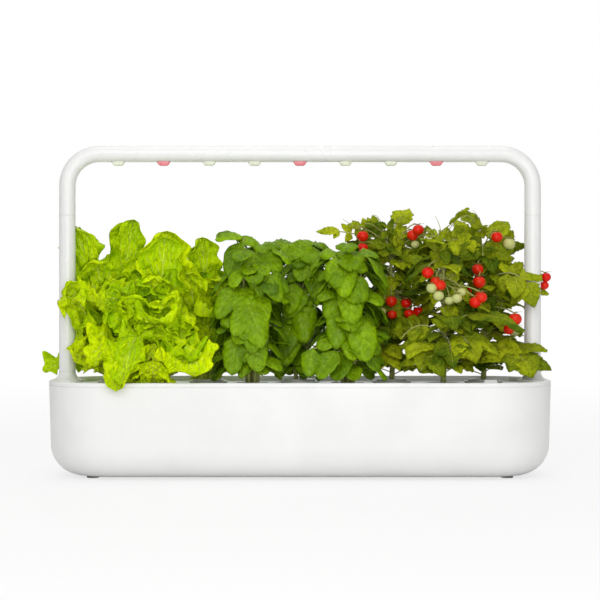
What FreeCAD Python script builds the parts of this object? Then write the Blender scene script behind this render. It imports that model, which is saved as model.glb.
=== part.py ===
import FreeCAD, Part
import math
import os
import re
import Sketcher
import PartDesign

# Countertop hydroponic garden. Millimetres, +Z up, +X along the tank, front at -Y.
# The origin is on the worktop, under the middle of the tank.

V = FreeCAD.Vector
UP = V(0, 0, 1)
Rule = Sketcher.Constraint
LEFT, RIGHT = "-1", "1"
doc = FreeCAD.newDocument("hydroponic_garden")

SIZES = {
    # Gaps: pieces that rest on each other, pieces that slide in each other.
    "seat_gap": 0.2,
    "fit_gap": 0.25,
    # Tank.
    "tank_length": 605,
    "tank_width": 185,
    "tank_corner": 78,
    "tank_top": 110.2,
    "tank_wall": 2.6,
    "wall_draft": 1.6,
    "bottom_round": 37,
    "floor_reach": 52,
    "foot_height": 2.5,
    "foot_radius": 7,
    "foot_inset": 55,
    # Lid with its sunken tray and leg collars.
    "lid_height": 5,
    "lid_rim": 8,
    "lid_edge": 0.9,
    "lid_wall": 2.4,
    "lid_reach": 34,
    "tray_depth": 6,
    "skirt_depth": 6.5,
    "collar_top": 125,
    "collar_radius": 18.5,
    "socket_depth": 28,
    "socket_radius": 11,
    # Legs and lamp.
    "leg_inset": 19,
    "tube_radius": 10,
    "tube_wall": 1.6,
    "spigot_depth": 14,
    "spigot_root": 6,
    "lamp_joint": 315,
    "lamp_top": 400,
    "arch_radius": 39,
    "lens_margin": 22.9,
    "lens_length": 17,
    "lens_width": 8,
    "lens_drop": 4.5,
    "lens_end_draft": 34,
    "lens_side_draft": 15,
    "board_width": 14.4,
    "board_height": 1.6,
    "emitter_side": 5,
    "plug_radius": 5.8,
    "pin_radius": 1.2,
    "lead_width": 3,
    "lead_thickness": 1,
    # Growing cups and their soil plugs.
    "pod_pitch": 57,
    "pod_row": 38,
    "cup_radius": 20,
    "cup_draft": 6,
    "cup_depth": 46,
    "cup_wall": 1.2,
    "cup_flange": 4,
    "flange_height": 2.4,
    "slot_width": 3,
    "slot_height": 22,
    "soil_rise": 1.2,
    # Float, fill cap.
    "stem_radius": 2.4,
    "float_radius": 14,
    "float_height": 14,
    "float_drop": 43,
    "stem_rise": 9,
    "cap_side": 27,
    "cap_plug": 9,
    "tab_height": 7,
    # Light control under the lid.
    "control_x": 57,
    "control_inset": 35.5,
    "control_length": 52,
    "control_width": 58,
    "control_height": 29,
    "control_wall": 2,
    "board_level": 14,
    "notch_width": 14,
    "notch_depth": 26,
    "back_inset": 0.9,
    "jack_side": 9.2,
    "jack_bore": 2.75,
    "jack_length": 13,
    "post_height": 4,
    "ear_height": 3,
    "screw_radius": 1.3,
    "button_length": 14,
    "button_width": 9,
    "button_flange": 2,
    "button_rise": 1.6,
    "button_travel": 1.6,
    # Plants.
    "leaf_thickness": 2.4,
    "stem_width": 3.2,
    "crown_width": 8,
    "ripe_radius": 7.2,
    "green_radius": 5.6,
}

sheet = doc.addObject("Spreadsheet::Sheet", "sizes")
for row, (alias, value) in enumerate(SIZES.items(), start=1):
    sheet.set(f"A{row}", alias)
    sheet.set(f"B{row}", str(value))
    sheet.setAlias(f"B{row}", alias)
doc.recompute()

# Heights and places that several pieces share, each worked out from the sizes above.
LID_BASE = "(tank_top + seat_gap)"
LID_TOP = f"({LID_BASE} + lid_height)"
TRAY_TOP = f"({LID_TOP} - tray_depth)"
TRAY_BASE = f"({TRAY_TOP} - lid_wall)"
FLANGE_BASE = f"({TRAY_TOP} + seat_gap)"
FLANGE_TOP = f"({FLANGE_BASE} + flange_height)"
CUP_MOUTH = "(cup_radius - fit_gap)"
SOIL_TOP = f"({FLANGE_TOP} + soil_rise)"
LEG_BASE = "(collar_top + seat_gap)"
LAMP_BASE = "(lamp_joint + seat_gap)"
LAMP_AXIS = "(lamp_top - tube_radius)"
TUBE_BORE = "(tube_radius - tube_wall)"
SPIGOT = f"({TUBE_BORE} - fit_gap)"
SPIGOT_BORE = f"({SPIGOT} - tube_wall)"
SOCKET_BASE = "(collar_top - socket_depth)"
FLANGE_WIDTH = "(lens_width + 2.4)"
LENS_ROOT = "(lamp_top - 2 * tube_radius + 0.9)"
LENS_SEAT = f"({LAMP_AXIS} - {TUBE_BORE} * sqrt(2) + {FLANGE_WIDTH} / 2 + seat_gap)"
BOARD_SEAT = f"({LAMP_AXIS} - {TUBE_BORE} * sqrt(2) + board_width / 2 + seat_gap)"
BOX_TOP = f"({TRAY_BASE} - seat_gap)"
BOX_BASE = f"({BOX_TOP} - control_height)"
BOARD_LEVEL = f"({BOX_BASE} + board_level)"
EAR_BASE = f"({TRAY_BASE} - post_height - seat_gap - ear_height)"
LEG_X = "(tank_length / 2 - leg_inset)"
LENS_PITCH = f"(({LEG_X} - arch_radius - lens_margin) / 4)"
CONTROL_Y = "(tank_width / 2 - control_inset)"
KEY_Y = f"({CONTROL_Y} + 5)"
SKIRT_BACK = "-(tank_width / 2 - tank_wall - lid_wall - 4 * seat_gap)"
JACK_LEVEL = "(tank_top - 18)"


def bound(text):
    """The expression with the sheet's name before each of its aliases."""
    return re.sub(r"\b(" + "|".join(SIZES) + r")\b", r"sizes.\1", text)


def now(text):
    """What the expression comes to with the sheet as it stands."""
    return float(sheet.evalExpression(bound(text)))


def origin_plane(body, role):
    return next(item for item in body.Origin.OriginFeatures if item.Role == role)


def new_body(label, x="0", y="0", z="0"):
    """A body named after its node, standing at a place bound to the sheet."""
    body = doc.addObject("PartDesign::Body", label)
    body.Label = label
    for axis, text in zip("xyz", (x, y, z)):
        body.setExpression(f"Placement.Base.{axis}", bound(text))
    return body


def new_sketch(body, name, role="XY_Plane", level="0", across="0"):
    """A sketch on an origin plane, moved along its normal and along its own x."""
    sketch = body.newObject("Sketcher::SketchObject", name)
    sketch.AttachmentSupport = [(origin_plane(body, role), "")]
    sketch.MapMode = "FlatFace"
    sketch.setExpression("AttachmentOffset.Base.z", bound(level))
    sketch.setExpression("AttachmentOffset.Base.x", bound(across))
    return sketch


def drive(sketch, rule, text):
    """Add a dimension and bind it to the sheet."""
    index = sketch.addConstraint(rule)
    sketch.setExpression(f"Constraints[{index}]", bound(text))


def pin(sketch, geometry, point, x, y):
    """Hold a point of the sketch at a pair of expressions."""
    drive(sketch, Rule("DistanceX", -1, 1, geometry, point, now(x)), x)
    drive(sketch, Rule("DistanceY", -1, 1, geometry, point, now(y)), y)


def upright_arc(start, end):
    """The arc from start to end that leaves start vertically."""
    run, rise = end.x - start.x, end.y - start.y
    radius = (run * run + rise * rise) / (2 * abs(run))
    centre = start + V(math.copysign(radius, run), 0, 0)
    middle = (start + end) * 0.5 - centre
    middle.normalize()
    return Part.Arc(start, centre + middle * radius, end)


def outline(sketch, points, arcs=()):
    """A closed outline through pairs of expressions; the sides in arcs leave upright."""
    spots = [V(now(x), now(y), 0) for x, y in points]
    sides = []
    for i, spot in enumerate(spots):
        after = spots[(i + 1) % len(spots)]
        shape = upright_arc(spot, after) if i in arcs else Part.LineSegment(spot, after)
        index = sketch.addGeometry(shape, False)
        flipped = (sketch.Geometry[index].StartPoint - spot).Length > 1e-4
        sides.append((index, 2, 1) if flipped else (index, 1, 2))
    for i, (index, first, last) in enumerate(sides):
        after, start, _ = sides[(i + 1) % len(sides)]
        sketch.addConstraint(Rule("Coincident", index, last, after, start))
        pin(sketch, index, first, *points[i])
        if i in arcs:
            sketch.addConstraint(Rule("Horizontal", index, 3, index, first))
    return sketch


def box_outline(sketch, x0, x1, y0, y1):
    return outline(sketch, [(x0, y0), (x1, y0), (x1, y1), (x0, y1)])


def circle(sketch, x, y, radius):
    ring = sketch.addGeometry(Part.Circle(V(now(x), now(y), 0), UP, now(radius)), False)
    pin(sketch, ring, 3, x, y)
    drive(sketch, Rule("Radius", ring, now(radius)), radius)


def regular(sketch, sides, reach, x="0", y="0"):
    """A regular polygon about a place, one flat side facing its x; reach is out to a flat."""
    corner_reach = f"({reach}) / cos({180 / sides} * 1 deg)"
    middle, radius = V(now(x), now(y), 0), now(corner_reach)
    turns = [2 * math.pi * (i + 0.5) / sides for i in range(sides)]
    spots = [middle + V(math.cos(a), math.sin(a), 0) * radius for a in turns]
    lines = [Part.LineSegment(spots[i - 1], spots[i]) for i in range(sides)]
    first = sketch.addGeometry(lines, False)[0]
    ring = sketch.addGeometry(Part.Circle(middle, UP, radius), True)
    rules = [Rule("Vertical", first)]
    for i in range(sides):
        rules.append(Rule("Coincident", first + i, 2, first + (i + 1) % sides, 1))
        rules.append(Rule("PointOnObject", first + i, 2, ring))
        if i:
            rules.append(Rule("Equal", first, first + i))
    sketch.addConstraint(rules)
    pin(sketch, ring, 3, x, y)
    drive(sketch, Rule("Radius", ring, radius), corner_reach)
    return sketch


def blunt(sketch, length, width, cut, x="0", y="0"):
    """A rectangle about a place with its four corners cut off."""
    half, deep = f"({length}) / 2", f"({width}) / 2"
    corners = []
    for along, across, first in (("+", "-", 0), ("+", "+", 1), ("-", "+", 0), ("-", "-", 1)):
        side = (f"{x} {along} ({half})", f"{y} {across} ({deep} - {cut})")
        end = (f"{x} {along} ({half} - {cut})", f"{y} {across} ({deep})")
        corners += [end, side] if first == 0 else [side, end]
    return outline(sketch, corners)


def outer_sides(feature, keep=lambda normal: True):
    """The names of the feature's upright flat faces whose normal passes the test."""
    names = []
    for i, face in enumerate(feature.Shape.Faces, start=1):
        normal = face.normalAt(0, 0)
        if abs(normal.z) < 0.01 and keep(normal):
            names.append(f"Face{i}")
    return names


def draft(body, feature, angle, keep=lambda normal: True):
    """Lean a feature's upright faces inwards below the body's own XY plane."""
    doc.recompute()
    lean = body.newObject("PartDesign::Draft", "draft")
    lean.Base = (feature, outer_sides(feature, keep))
    lean.NeutralPlane = (origin_plane(body, "XY_Plane"), [""])
    lean.PullDirection = (origin_plane(body, "Z_Axis"), [""])
    lean.Reversed = True
    lean.setExpression("Angle", bound(angle))
    doc.recompute()
    return lean


def sink(body, sketch, length, name="pad"):
    """A pad that grows against its sketch's normal."""
    feature = pad(body, sketch, length, name)
    feature.Reversed = True
    return feature


def rounded(sketch, length, width, corner, split=False):
    """A rounded rectangle about the origin; split starts it in the middle of the front."""
    x, y, r = now(length) / 2, now(width) / 2, now(corner)
    a, b = x - r, y - r
    start = 0 if split else -a
    sides = [Part.LineSegment(V(start, -y, 0), V(a, -y, 0))]
    sides.append(Part.ArcOfCircle(Part.Circle(V(a, -b, 0), UP, r), -math.pi / 2, 0))
    sides.append(Part.LineSegment(V(x, -b, 0), V(x, b, 0)))
    sides.append(Part.ArcOfCircle(Part.Circle(V(a, b, 0), UP, r), 0, math.pi / 2))
    sides.append(Part.LineSegment(V(a, y, 0), V(-a, y, 0)))
    sides.append(Part.ArcOfCircle(Part.Circle(V(-a, b, 0), UP, r), math.pi / 2, math.pi))
    sides.append(Part.LineSegment(V(-x, b, 0), V(-x, -b, 0)))
    sides.append(Part.ArcOfCircle(Part.Circle(V(-a, -b, 0), UP, r), math.pi, 1.5 * math.pi))
    if split:
        sides.append(Part.LineSegment(V(-a, -y, 0), V(0, -y, 0)))
    sketch.addGeometry(sides, False)
    rules = [Rule("Tangent", i, 2, i + 1, 1) for i in range(len(sides) - 1)]
    rules += [Rule("Horizontal", 0), Rule("Vertical", 2), Rule("Vertical", 6)]
    rules += [Rule("Horizontal", 4), Rule("Equal", 3, 5), Rule("Equal", 5, 7)]
    if split:
        rules += [Rule("Coincident", 8, 2, 0, 1), Rule("PointOnObject", 0, 1, -2)]
        rules += [Rule("Symmetric", 1, 3, 7, 3, -2), Rule("Symmetric", 1, 3, 3, 3, -1)]
    else:
        rules += [Rule("Tangent", 7, 2, 0, 1), Rule("Equal", 1, 3)]
        rules.append(Rule("Symmetric", 1, 3, 5, 3, -1, 1))
    sketch.addConstraint(rules)
    drive(sketch, Rule("Radius", 1, r), corner)
    drive(sketch, Rule("DistanceX", 6, 1, 2, 1, 2 * x), length)
    drive(sketch, Rule("DistanceY", 0, 2, 4, 1, 2 * y), width)
    return sketch


def pad(body, sketch, length, name="pad"):
    feature = body.newObject("PartDesign::Pad", name)
    feature.Profile = sketch
    feature.setExpression("Length", bound(length))
    return feature


def pocket(body, sketch, length, forward=False, name="pocket"):
    """Cut against the sketch's normal, or along it when forward."""
    feature = body.newObject("PartDesign::Pocket", name)
    feature.Profile = sketch
    feature.Reversed = forward
    feature.setExpression("Length", bound(length))
    return feature


def spin(body, sketch, name="turning"):
    """Turn a sketch right round its own vertical axis."""
    feature = body.newObject("PartDesign::Revolution", name)
    feature.Profile = sketch
    feature.ReferenceAxis = (sketch, ["V_Axis"])
    feature.Angle = 360
    return feature


def mirror(body, features, role="YZ_Plane"):
    feature = body.newObject("PartDesign::Mirrored", "mirrored")
    feature.Originals = features
    feature.MirrorPlane = (origin_plane(body, role), [""])
    body.Tip = feature
    return feature


def repeat(body, feature, step, count):
    """Copies of a feature along X, a step apart."""
    row = body.newObject("PartDesign::LinearPattern", "row")
    row.Originals = [feature]
    row.Direction = (origin_plane(body, "X_Axis"), [""])
    row.setExpression("Length", bound(f"({step}) * {count - 1}"))
    row.Occurrences = count
    body.Tip = row
    return row


def sweep(body, profile, path, name="sweep"):
    feature = body.newObject("PartDesign::AdditivePipe", name)
    feature.Profile = profile
    feature.Spine = (path, [])
    return feature


def pod_places():
    """Nine pods in a zigzag: odd ones in the back row, even ones in the front row."""
    for number in range(1, 10):
        row = "pod_row" if number % 2 else "-pod_row"
        yield number, f"({number - 5} * pod_pitch)", row


def wall_section(sketch):
    """The tank's wall: a drafted side, the big bottom round outside, flats inside it."""
    slope = math.radians(now("wall_draft"))
    radius, wall = now("bottom_round"), now("tank_wall")
    top, low, side = now("tank_top"), now("foot_height"), -now("tank_width") / 2
    level = low + radius
    middle = V(side + (top - level) * math.tan(slope) + radius / math.cos(slope), level, 0)
    lean = V(math.cos(slope), math.sin(slope), 0)
    reach = V(side + now("floor_reach"), low, 0)
    rim = V(side, top, 0)
    inner_rim = rim + V(wall / math.cos(slope), 0, 0)
    low_spot = V(middle.x, low, 0)
    rise = V(0, wall, 0)
    turns = [1.5 * math.pi - i * (math.pi / 2 - slope) / 4 for i in range(5)]
    bends = [middle + V(math.cos(a), math.sin(a), 0) * (radius - wall) for a in turns]
    arc = Part.ArcOfCircle(Part.Circle(middle, UP, radius), math.pi + slope, 1.5 * math.pi)
    shapes = [Part.LineSegment(rim, middle - lean * radius), arc]
    shapes.append(Part.LineSegment(low_spot, reach))
    shapes.append(Part.LineSegment(reach, reach + rise))
    trail = [reach + rise] + bends + [inner_rim, rim]
    shapes += [Part.LineSegment(a, b) for a, b in zip(trail, trail[1:])]
    last = len(shapes) - 1
    sketch.addGeometry(shapes, False)
    ghost = sketch.addGeometry(Part.Circle(middle, UP, radius - wall), True)
    spoke = sketch.addGeometry(Part.LineSegment(middle, bends[-1]), True)
    rules = [Rule("Tangent", 0, 2, 1, 1), Rule("Tangent", 1, 2, 2, 1)]
    rules += [Rule("Coincident", i, 2, i + 1, 1) for i in range(2, last)]
    rules += [Rule("Coincident", last, 2, 0, 1), Rule("Horizontal", 2), Rule("Vertical", 3)]
    rules += [Rule("Horizontal", 4), Rule("Horizontal", last), Rule("Coincident", ghost, 3, 1, 3)]
    rules += [Rule("PointOnObject", i, 2, ghost) for i in range(4, last - 1)]
    rules += [Rule("Equal", 5, i) for i in range(6, last - 1)]
    rules += [Rule("Parallel", 0, last - 1), Rule("Vertical", 4, 2, 1, 3)]
    rules += [Rule("Coincident", spoke, 1, 1, 3), Rule("Coincident", spoke, 2, last - 2, 2)]
    rules.append(Rule("Perpendicular", spoke, 0))
    sketch.addConstraint(rules)
    pin(sketch, 0, 1, "-tank_width / 2", "tank_top")
    pin(sketch, 3, 1, "floor_reach - tank_width / 2", "foot_height")
    drive(sketch, Rule("Radius", 1, radius), "bottom_round")
    drive(sketch, Rule("Radius", ghost, radius - wall), "bottom_round - tank_wall")
    drive(sketch, Rule("Angle", 0, slope - math.pi / 2), "(wall_draft - 90) * 1 deg")


def make_tank():
    """The tub: its wall section swept round the footprint, a floor, a notch for the inlet."""
    body = new_body("tank")
    path = rounded(new_sketch(body, "footprint"), "tank_length", "tank_width", "tank_corner", True)
    section = new_sketch(body, "wall_section", "YZ_Plane")
    wall_section(section)
    sweep(body, section, path, "wall")
    floor = new_sketch(body, "floor_outline", level="foot_height")
    left_over = "2 * floor_reach"
    rounded(floor, f"tank_length - {left_over}", f"tank_width - {left_over}", "tank_corner - floor_reach")
    pad(body, floor, "tank_wall", "floor")
    notch = new_sketch(body, "notch_outline", "XZ_Plane", across="control_x")
    notch_outline(notch, "0")
    pocket(body, notch, "tank_width / 2 + 5", name="notch")
    return body


def notch_outline(sketch, gap):
    """A slot open at the top with a rounded foot, narrower all round by the gap."""
    half = f"(notch_width / 2 - {gap})"
    low = "(tank_top - notch_depth + notch_width / 2)"
    top = f"(tank_top - {gap})" if gap != "0" else "(tank_top + 1)"
    side, level, high = now(half), now(low), now(top)
    foot = Part.ArcOfCircle(Part.Circle(V(0, level, 0), UP, side), math.pi, 2 * math.pi)
    sketch.addGeometry([
        foot,
        Part.LineSegment(V(side, level, 0), V(side, high, 0)),
        Part.LineSegment(V(side, high, 0), V(-side, high, 0)),
        Part.LineSegment(V(-side, high, 0), V(-side, level, 0)),
    ], False)
    sketch.addConstraint([
        Rule("Tangent", 0, 2, 1, 1),
        Rule("Coincident", 1, 2, 2, 1),
        Rule("Coincident", 2, 2, 3, 1),
        Rule("Tangent", 3, 2, 0, 1),
        Rule("Vertical", 1),
        Rule("Horizontal", 2),
    ])
    pin(sketch, 0, 3, "0", low)
    drive(sketch, Rule("Radius", 0, side), half)
    drive(sketch, Rule("DistanceY", -1, 1, 1, 2, high), top)
    return sketch


def make_feet():
    """Four rubber feet under the corners of the floor."""
    body = new_body("rubber_feet")
    discs = new_sketch(body, "discs")
    for x in ("-", ""):
        for y in ("-", ""):
            along = f"{x}(tank_length / 2 - foot_inset)"
            regular(discs, 12, "foot_radius", along, f"{y}(tank_width / 2 - foot_inset)")
    pad(body, discs, "foot_height")
    return body


def rim_section(sketch):
    """The lid's rim: chamfered edge, step down to the tray, skirt inside the tank."""
    side = "-tank_width / 2"
    skirt = f"{side} + tank_wall + 3 * seat_gap"
    outline(sketch, [
        (side, LID_BASE),
        (side, f"{LID_TOP} - lid_edge"),
        (f"{side} + lid_edge", LID_TOP),
        (f"{side} + lid_rim", LID_TOP),
        (f"{side} + lid_rim", TRAY_TOP),
        (f"{side} + lid_reach", TRAY_TOP),
        (f"{side} + lid_reach", TRAY_BASE),
        (f"{skirt} + lid_wall", TRAY_BASE),
        (f"{skirt} + lid_wall", f"{LID_BASE} - skirt_depth"),
        (skirt, f"{LID_BASE} - skirt_depth"),
        (skirt, LID_BASE),
    ])


def collar_section(sketch):
    """A leg's collar: flared above the rim, a blind socket below the tray."""
    outline(sketch, [
        (f"{TUBE_BORE}", "collar_top"),
        ("tube_radius", "collar_top"),
        ("collar_radius", f"{LID_TOP} - 0.2"),
        ("collar_radius", f"{TRAY_TOP} - 1"),
        ("socket_radius", f"{TRAY_TOP} - 1"),
        ("socket_radius", f"{SOCKET_BASE} - lid_wall"),
        ("0", f"{SOCKET_BASE} - lid_wall"),
        ("0", SOCKET_BASE),
        (f"{TUBE_BORE}", SOCKET_BASE),
    ], arcs=(1,))


def make_lid():
    """The lid: rim swept round the footprint, tray floor, two collars, holes for the pods."""
    body = new_body("lid")
    path = rounded(new_sketch(body, "footprint"), "tank_length", "tank_width", "tank_corner", True)
    section = new_sketch(body, "rim_section", "YZ_Plane")
    rim_section(section)
    sweep(body, section, path, "rim")
    tray = new_sketch(body, "tray_outline", level=TRAY_BASE)
    reach = "2 * lid_reach"
    rounded(tray, f"tank_length - {reach}", f"tank_width - {reach}", "tank_corner - lid_reach")
    pad(body, tray, "lid_wall", "tray")
    collar = new_sketch(body, "collar_section", "XZ_Plane", across=LEG_X)
    collar_section(collar)
    turned = spin(body, collar, "collar")
    mirror(body, [turned])
    bore = new_sketch(body, "leg_bores", level="collar_top + 1")
    for side in (f"-{LEG_X}", LEG_X):
        circle(bore, side, "0", TUBE_BORE)
    pocket(body, bore, "socket_depth + 1", name="bores")
    guide = new_sketch(body, "guide_outline", level=f"{TRAY_BASE} - float_drop + 2")
    regular(guide, 8, "stem_radius + 2", "-4 * pod_pitch", "-pod_row")
    pad(body, guide, "float_drop", "guide")
    posts = new_sketch(body, "post_outlines", level=f"{TRAY_BASE} - post_height")
    for side in (LEFT, RIGHT):
        regular(posts, 8, "4", f"control_x + {side} * (control_length / 2 + 6)", CONTROL_Y)
    pad(body, posts, "post_height + lid_wall / 2", "posts")
    for first, row, count in (("-4 * pod_pitch", "pod_row", 5), ("-3 * pod_pitch", "-pod_row", 4)):
        mouth = new_sketch(body, "cup_hole", level=f"{TRAY_TOP} + 1")
        regular(mouth, 12, "cup_radius", first, row)
        cut = pocket(body, mouth, "lid_wall + 2", name="cup_way")
        repeat(body, cut, "pod_pitch * 2", count)
    holes = new_sketch(body, "hole_outlines", level=f"{TRAY_TOP} + 1")
    blunt(holes, "cap_side", "cap_side", "4", "4 * pod_pitch", "-pod_row")
    blunt(holes, "button_length", "button_width", "2", "control_x", KEY_Y)
    pocket(body, holes, "lid_wall + 2", name="holes")
    stem = new_sketch(body, "stem_hole", level=f"{TRAY_TOP} + 1")
    regular(stem, 8, "stem_radius + fit_gap", "-4 * pod_pitch", "-pod_row")
    pocket(body, stem, "float_drop + lid_wall + 2", name="stem_way")
    screws = new_sketch(body, "screw_holes", level=f"{TRAY_BASE} - post_height - 1")
    for side in (LEFT, RIGHT):
        place = f"control_x + {side} * (control_length / 2 + 6)"
        regular(screws, 6, "screw_radius + seat_gap", place, CONTROL_Y)
    pocket(body, screws, "post_height + 2", forward=True, name="screw_ways")
    gap = new_sketch(body, "skirt_gap", "XZ_Plane", SKIRT_BACK, "control_x")
    box_outline(gap, "-notch_width / 2", "notch_width / 2", f"{LID_BASE} - skirt_depth - 1", LID_BASE)
    pocket(body, gap, "lid_wall + tank_wall + 4 * seat_gap", name="skirt_way")
    ends = new_sketch(body, "collar_ends", level=LID_BASE)
    inside = "(tank_length / 2 - tank_wall - 3 * seat_gap)"
    box_outline(ends, inside, "tank_length / 2 + 1", "-collar_radius", "collar_radius")
    box_outline(ends, "-tank_length / 2 - 1", f"-{inside}", "-collar_radius", "collar_radius")
    pocket(body, ends, "tank_wall", name="tank_way")
    return body


def make_leg(name, side):
    """A tube, round outside and eight-sided inside, with a round spigot at the foot."""
    body = new_body(name, x=f"{side} * {LEG_X}")
    wall = new_sketch(body, "wall", level=LEG_BASE)
    circle(wall, "0", "0", "tube_radius")
    regular(wall, 8, TUBE_BORE)
    pad(body, wall, f"lamp_joint - {LEG_BASE}", "tube")
    add_spigot(body, LEG_BASE, "0")
    return body


def add_spigot(body, level, x):
    """A round spigot below a level, rooted in the tube's flats above it."""
    root = new_sketch(body, "spigot_root", level=level)
    regular(root, 8, f"{TUBE_BORE} + tube_wall / 4", x)
    circle(root, x, "0", SPIGOT_BORE)
    rooted = pad(body, root, "spigot_root", "root")
    end = new_sketch(body, "spigot_end", level=level)
    circle(end, x, "0", SPIGOT)
    circle(end, x, "0", SPIGOT_BORE)
    return [rooted, sink(body, end, "spigot_depth", "spigot")]


def arch_path(sketch, foot, level, end="0"):
    """Up from the right foot, round one corner, along at a level; to the left foot when no end."""
    x, r = now(LEG_X), now("arch_radius")
    low, high = now(foot), now(level)
    bend = Part.Circle(V(x - r, high - r, 0), UP, r)
    shapes = [Part.LineSegment(V(x, low, 0), V(x, high - r, 0))]
    shapes.append(Part.ArcOfCircle(bend, 0, math.pi / 2))
    stop = now(end) if end != "0" else r - x
    shapes.append(Part.LineSegment(V(x - r, high, 0), V(stop, high, 0)))
    if end == "0":
        other = Part.Circle(V(r - x, high - r, 0), UP, r)
        shapes.append(Part.ArcOfCircle(other, math.pi / 2, math.pi))
        shapes.append(Part.LineSegment(V(-x, high - r, 0), V(-x, low, 0)))
    sketch.addGeometry(shapes, False)
    rules = [Rule("Tangent", i, 2, i + 1, 1) for i in range(len(shapes) - 1)]
    rules += [Rule("Vertical", 0), Rule("Horizontal", 2)]
    if end == "0":
        rules += [Rule("Equal", 1, 3), Rule("Vertical", 4)]
    sketch.addConstraint(rules)
    pin(sketch, 0, 1, LEG_X, foot)
    drive(sketch, Rule("Radius", 1, r), "arch_radius")
    drive(sketch, Rule("DistanceY", -1, 1, 2, 2, high), level)
    if end == "0":
        pin(sketch, 4, 2, f"-{LEG_X}", foot)
    else:
        drive(sketch, Rule("DistanceX", -1, 1, 2, 2, stop), end)
    return sketch


def make_lamp():
    """The lamp: one hollow tube bent into an arch, slotted below for nine lenses."""
    body = new_body("lamp_tube")
    path = arch_path(new_sketch(body, "arch", "XZ_Plane"), LAMP_BASE, LAMP_AXIS)
    ring = new_sketch(body, "ring", level=LAMP_BASE)
    circle(ring, LEG_X, "0", "tube_radius")
    regular(ring, 8, TUBE_BORE, LEG_X)
    sweep(body, ring, path, "tube")
    mirror(body, add_spigot(body, LAMP_BASE, LEG_X))
    slots = new_sketch(body, "lens_slots", level=f"{LAMP_AXIS} - tube_radius - 1")
    half, deep = "(lens_length / 2 + fit_gap)", "(lens_width / 2 + fit_gap)"
    for step in range(-4, 5):
        middle = f"({step} * {LENS_PITCH})"
        box_outline(slots, f"{middle} - {half}", f"{middle} + {half}", f"-{deep}", deep)
    pocket(body, slots, "tube_wall + 3", forward=True, name="lens_ways")
    return body


def make_lens(step):
    """A tapered lens that drops through its slot and hangs by a flange inside the tube."""
    body = new_body(f"lens_{step + 5}", f"{step} * {LENS_PITCH}", "0", LENS_ROOT)
    root = new_sketch(body, "root")
    box_outline(root, "-lens_length / 2", "lens_length / 2", "-lens_width / 2", "lens_width / 2")
    drop = sink(body, root, f"lens_drop + {LENS_ROOT} - (lamp_top - 2 * tube_radius)", "drop")
    ends = draft(body, drop, "lens_end_draft", lambda normal: abs(normal.x) > 0.9)
    draft(body, ends, "lens_side_draft", lambda normal: abs(normal.y) > 0.9)
    neck = new_sketch(body, "neck")
    box_outline(neck, "-lens_length / 2", "lens_length / 2", "-lens_width / 2", "lens_width / 2")
    pad(body, neck, f"{LENS_SEAT} - {LENS_ROOT}", "neck_pad")
    flange = new_sketch(body, "flange", level=f"{LENS_SEAT} - {LENS_ROOT}")
    blunt(flange, "lens_length + 3", FLANGE_WIDTH, "0.6")
    pad(body, flange, "0.8", "flange_pad")
    return body


def make_led_board():
    """The strip inside the lamp, resting on the tube's sides, one emitter over each lens."""
    body = new_body("led_board")
    strip = new_sketch(body, "strip", level=BOARD_SEAT)
    half = f"(4 * {LENS_PITCH} + lens_length)"
    box_outline(strip, f"-{half}", half, "-board_width / 2", "board_width / 2")
    pad(body, strip, "board_height", "strip_pad")
    emitters = new_sketch(body, "emitters", level=f"{BOARD_SEAT} - 0.8")
    for step in range(-4, 5):
        middle = f"({step} * {LENS_PITCH})"
        side = "emitter_side / 2"
        box_outline(emitters, f"{middle} - {side}", f"{middle} + {side}", f"-{side}", side)
    pad(body, emitters, "0.8 + board_height / 2", "emitter_pads")
    return body


def make_lamp_plug():
    """The socket in the lamp's right foot, with its flat lead up to the end of the strip."""
    body = new_body("lamp_plug")
    foot = f"({LAMP_BASE} - spigot_depth + 1)"
    block = new_sketch(body, "block", level=foot)
    regular(block, 8, "plug_radius", LEG_X)
    pad(body, block, f"{LAMP_BASE} + 1 - {foot}", "block_pad")
    hole = new_sketch(body, "pin_hole", level=f"{foot} - 1")
    regular(hole, 8, "pin_radius + fit_gap", LEG_X)
    pocket(body, hole, f"{LAMP_BASE} - {foot}", forward=True, name="pin_way")
    level = f"({BOARD_SEAT} + board_height / 2)"
    path = new_sketch(body, "lead_path", "XZ_Plane")
    arch_path(path, LAMP_BASE, level, end=f"4 * {LENS_PITCH} + lens_length")
    ring = new_sketch(body, "lead_section", level=LAMP_BASE)
    thick, wide = "lead_thickness / 2", "lead_width / 2"
    box_outline(ring, f"{LEG_X} - {thick}", f"{LEG_X} + {thick}", f"-{wide}", wide)
    sweep(body, ring, path, "lead")
    return body


def make_leg_harness():
    """The lead through the right leg: a socket at the foot and a pin at the top."""
    body = new_body("leg_harness", x=LEG_X)
    foot = f"({LEG_BASE} - spigot_depth + 1)"
    top = f"({LAMP_BASE} - spigot_depth - 1)"
    low = new_sketch(body, "foot_block", level=foot)
    regular(low, 8, "plug_radius")
    pad(body, low, f"{LEG_BASE} + spigot_root - {foot}", "foot_pad")
    hole = new_sketch(body, "pin_hole", level=f"{foot} - 1")
    regular(hole, 8, "pin_radius + fit_gap")
    pocket(body, hole, f"{LEG_BASE} - {foot}", forward=True, name="pin_way")
    lead = new_sketch(body, "lead", level=f"{LEG_BASE} + spigot_root - 1")
    thick, wide = "lead_thickness / 2", "lead_width / 2"
    box_outline(lead, f"-{thick}", thick, f"-{wide}", wide)
    pad(body, lead, f"{top} - 8 - {LEG_BASE} - spigot_root", "lead_pad")
    high = new_sketch(body, "top_block", level=f"{top} - 10")
    regular(high, 8, f"{TUBE_BORE} - fit_gap")
    pad(body, high, "10", "top_pad")
    tip = new_sketch(body, "tip", level=f"{top} - 1")
    regular(tip, 8, "pin_radius")
    pad(body, tip, "spigot_depth", "tip_pad")
    return body


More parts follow.
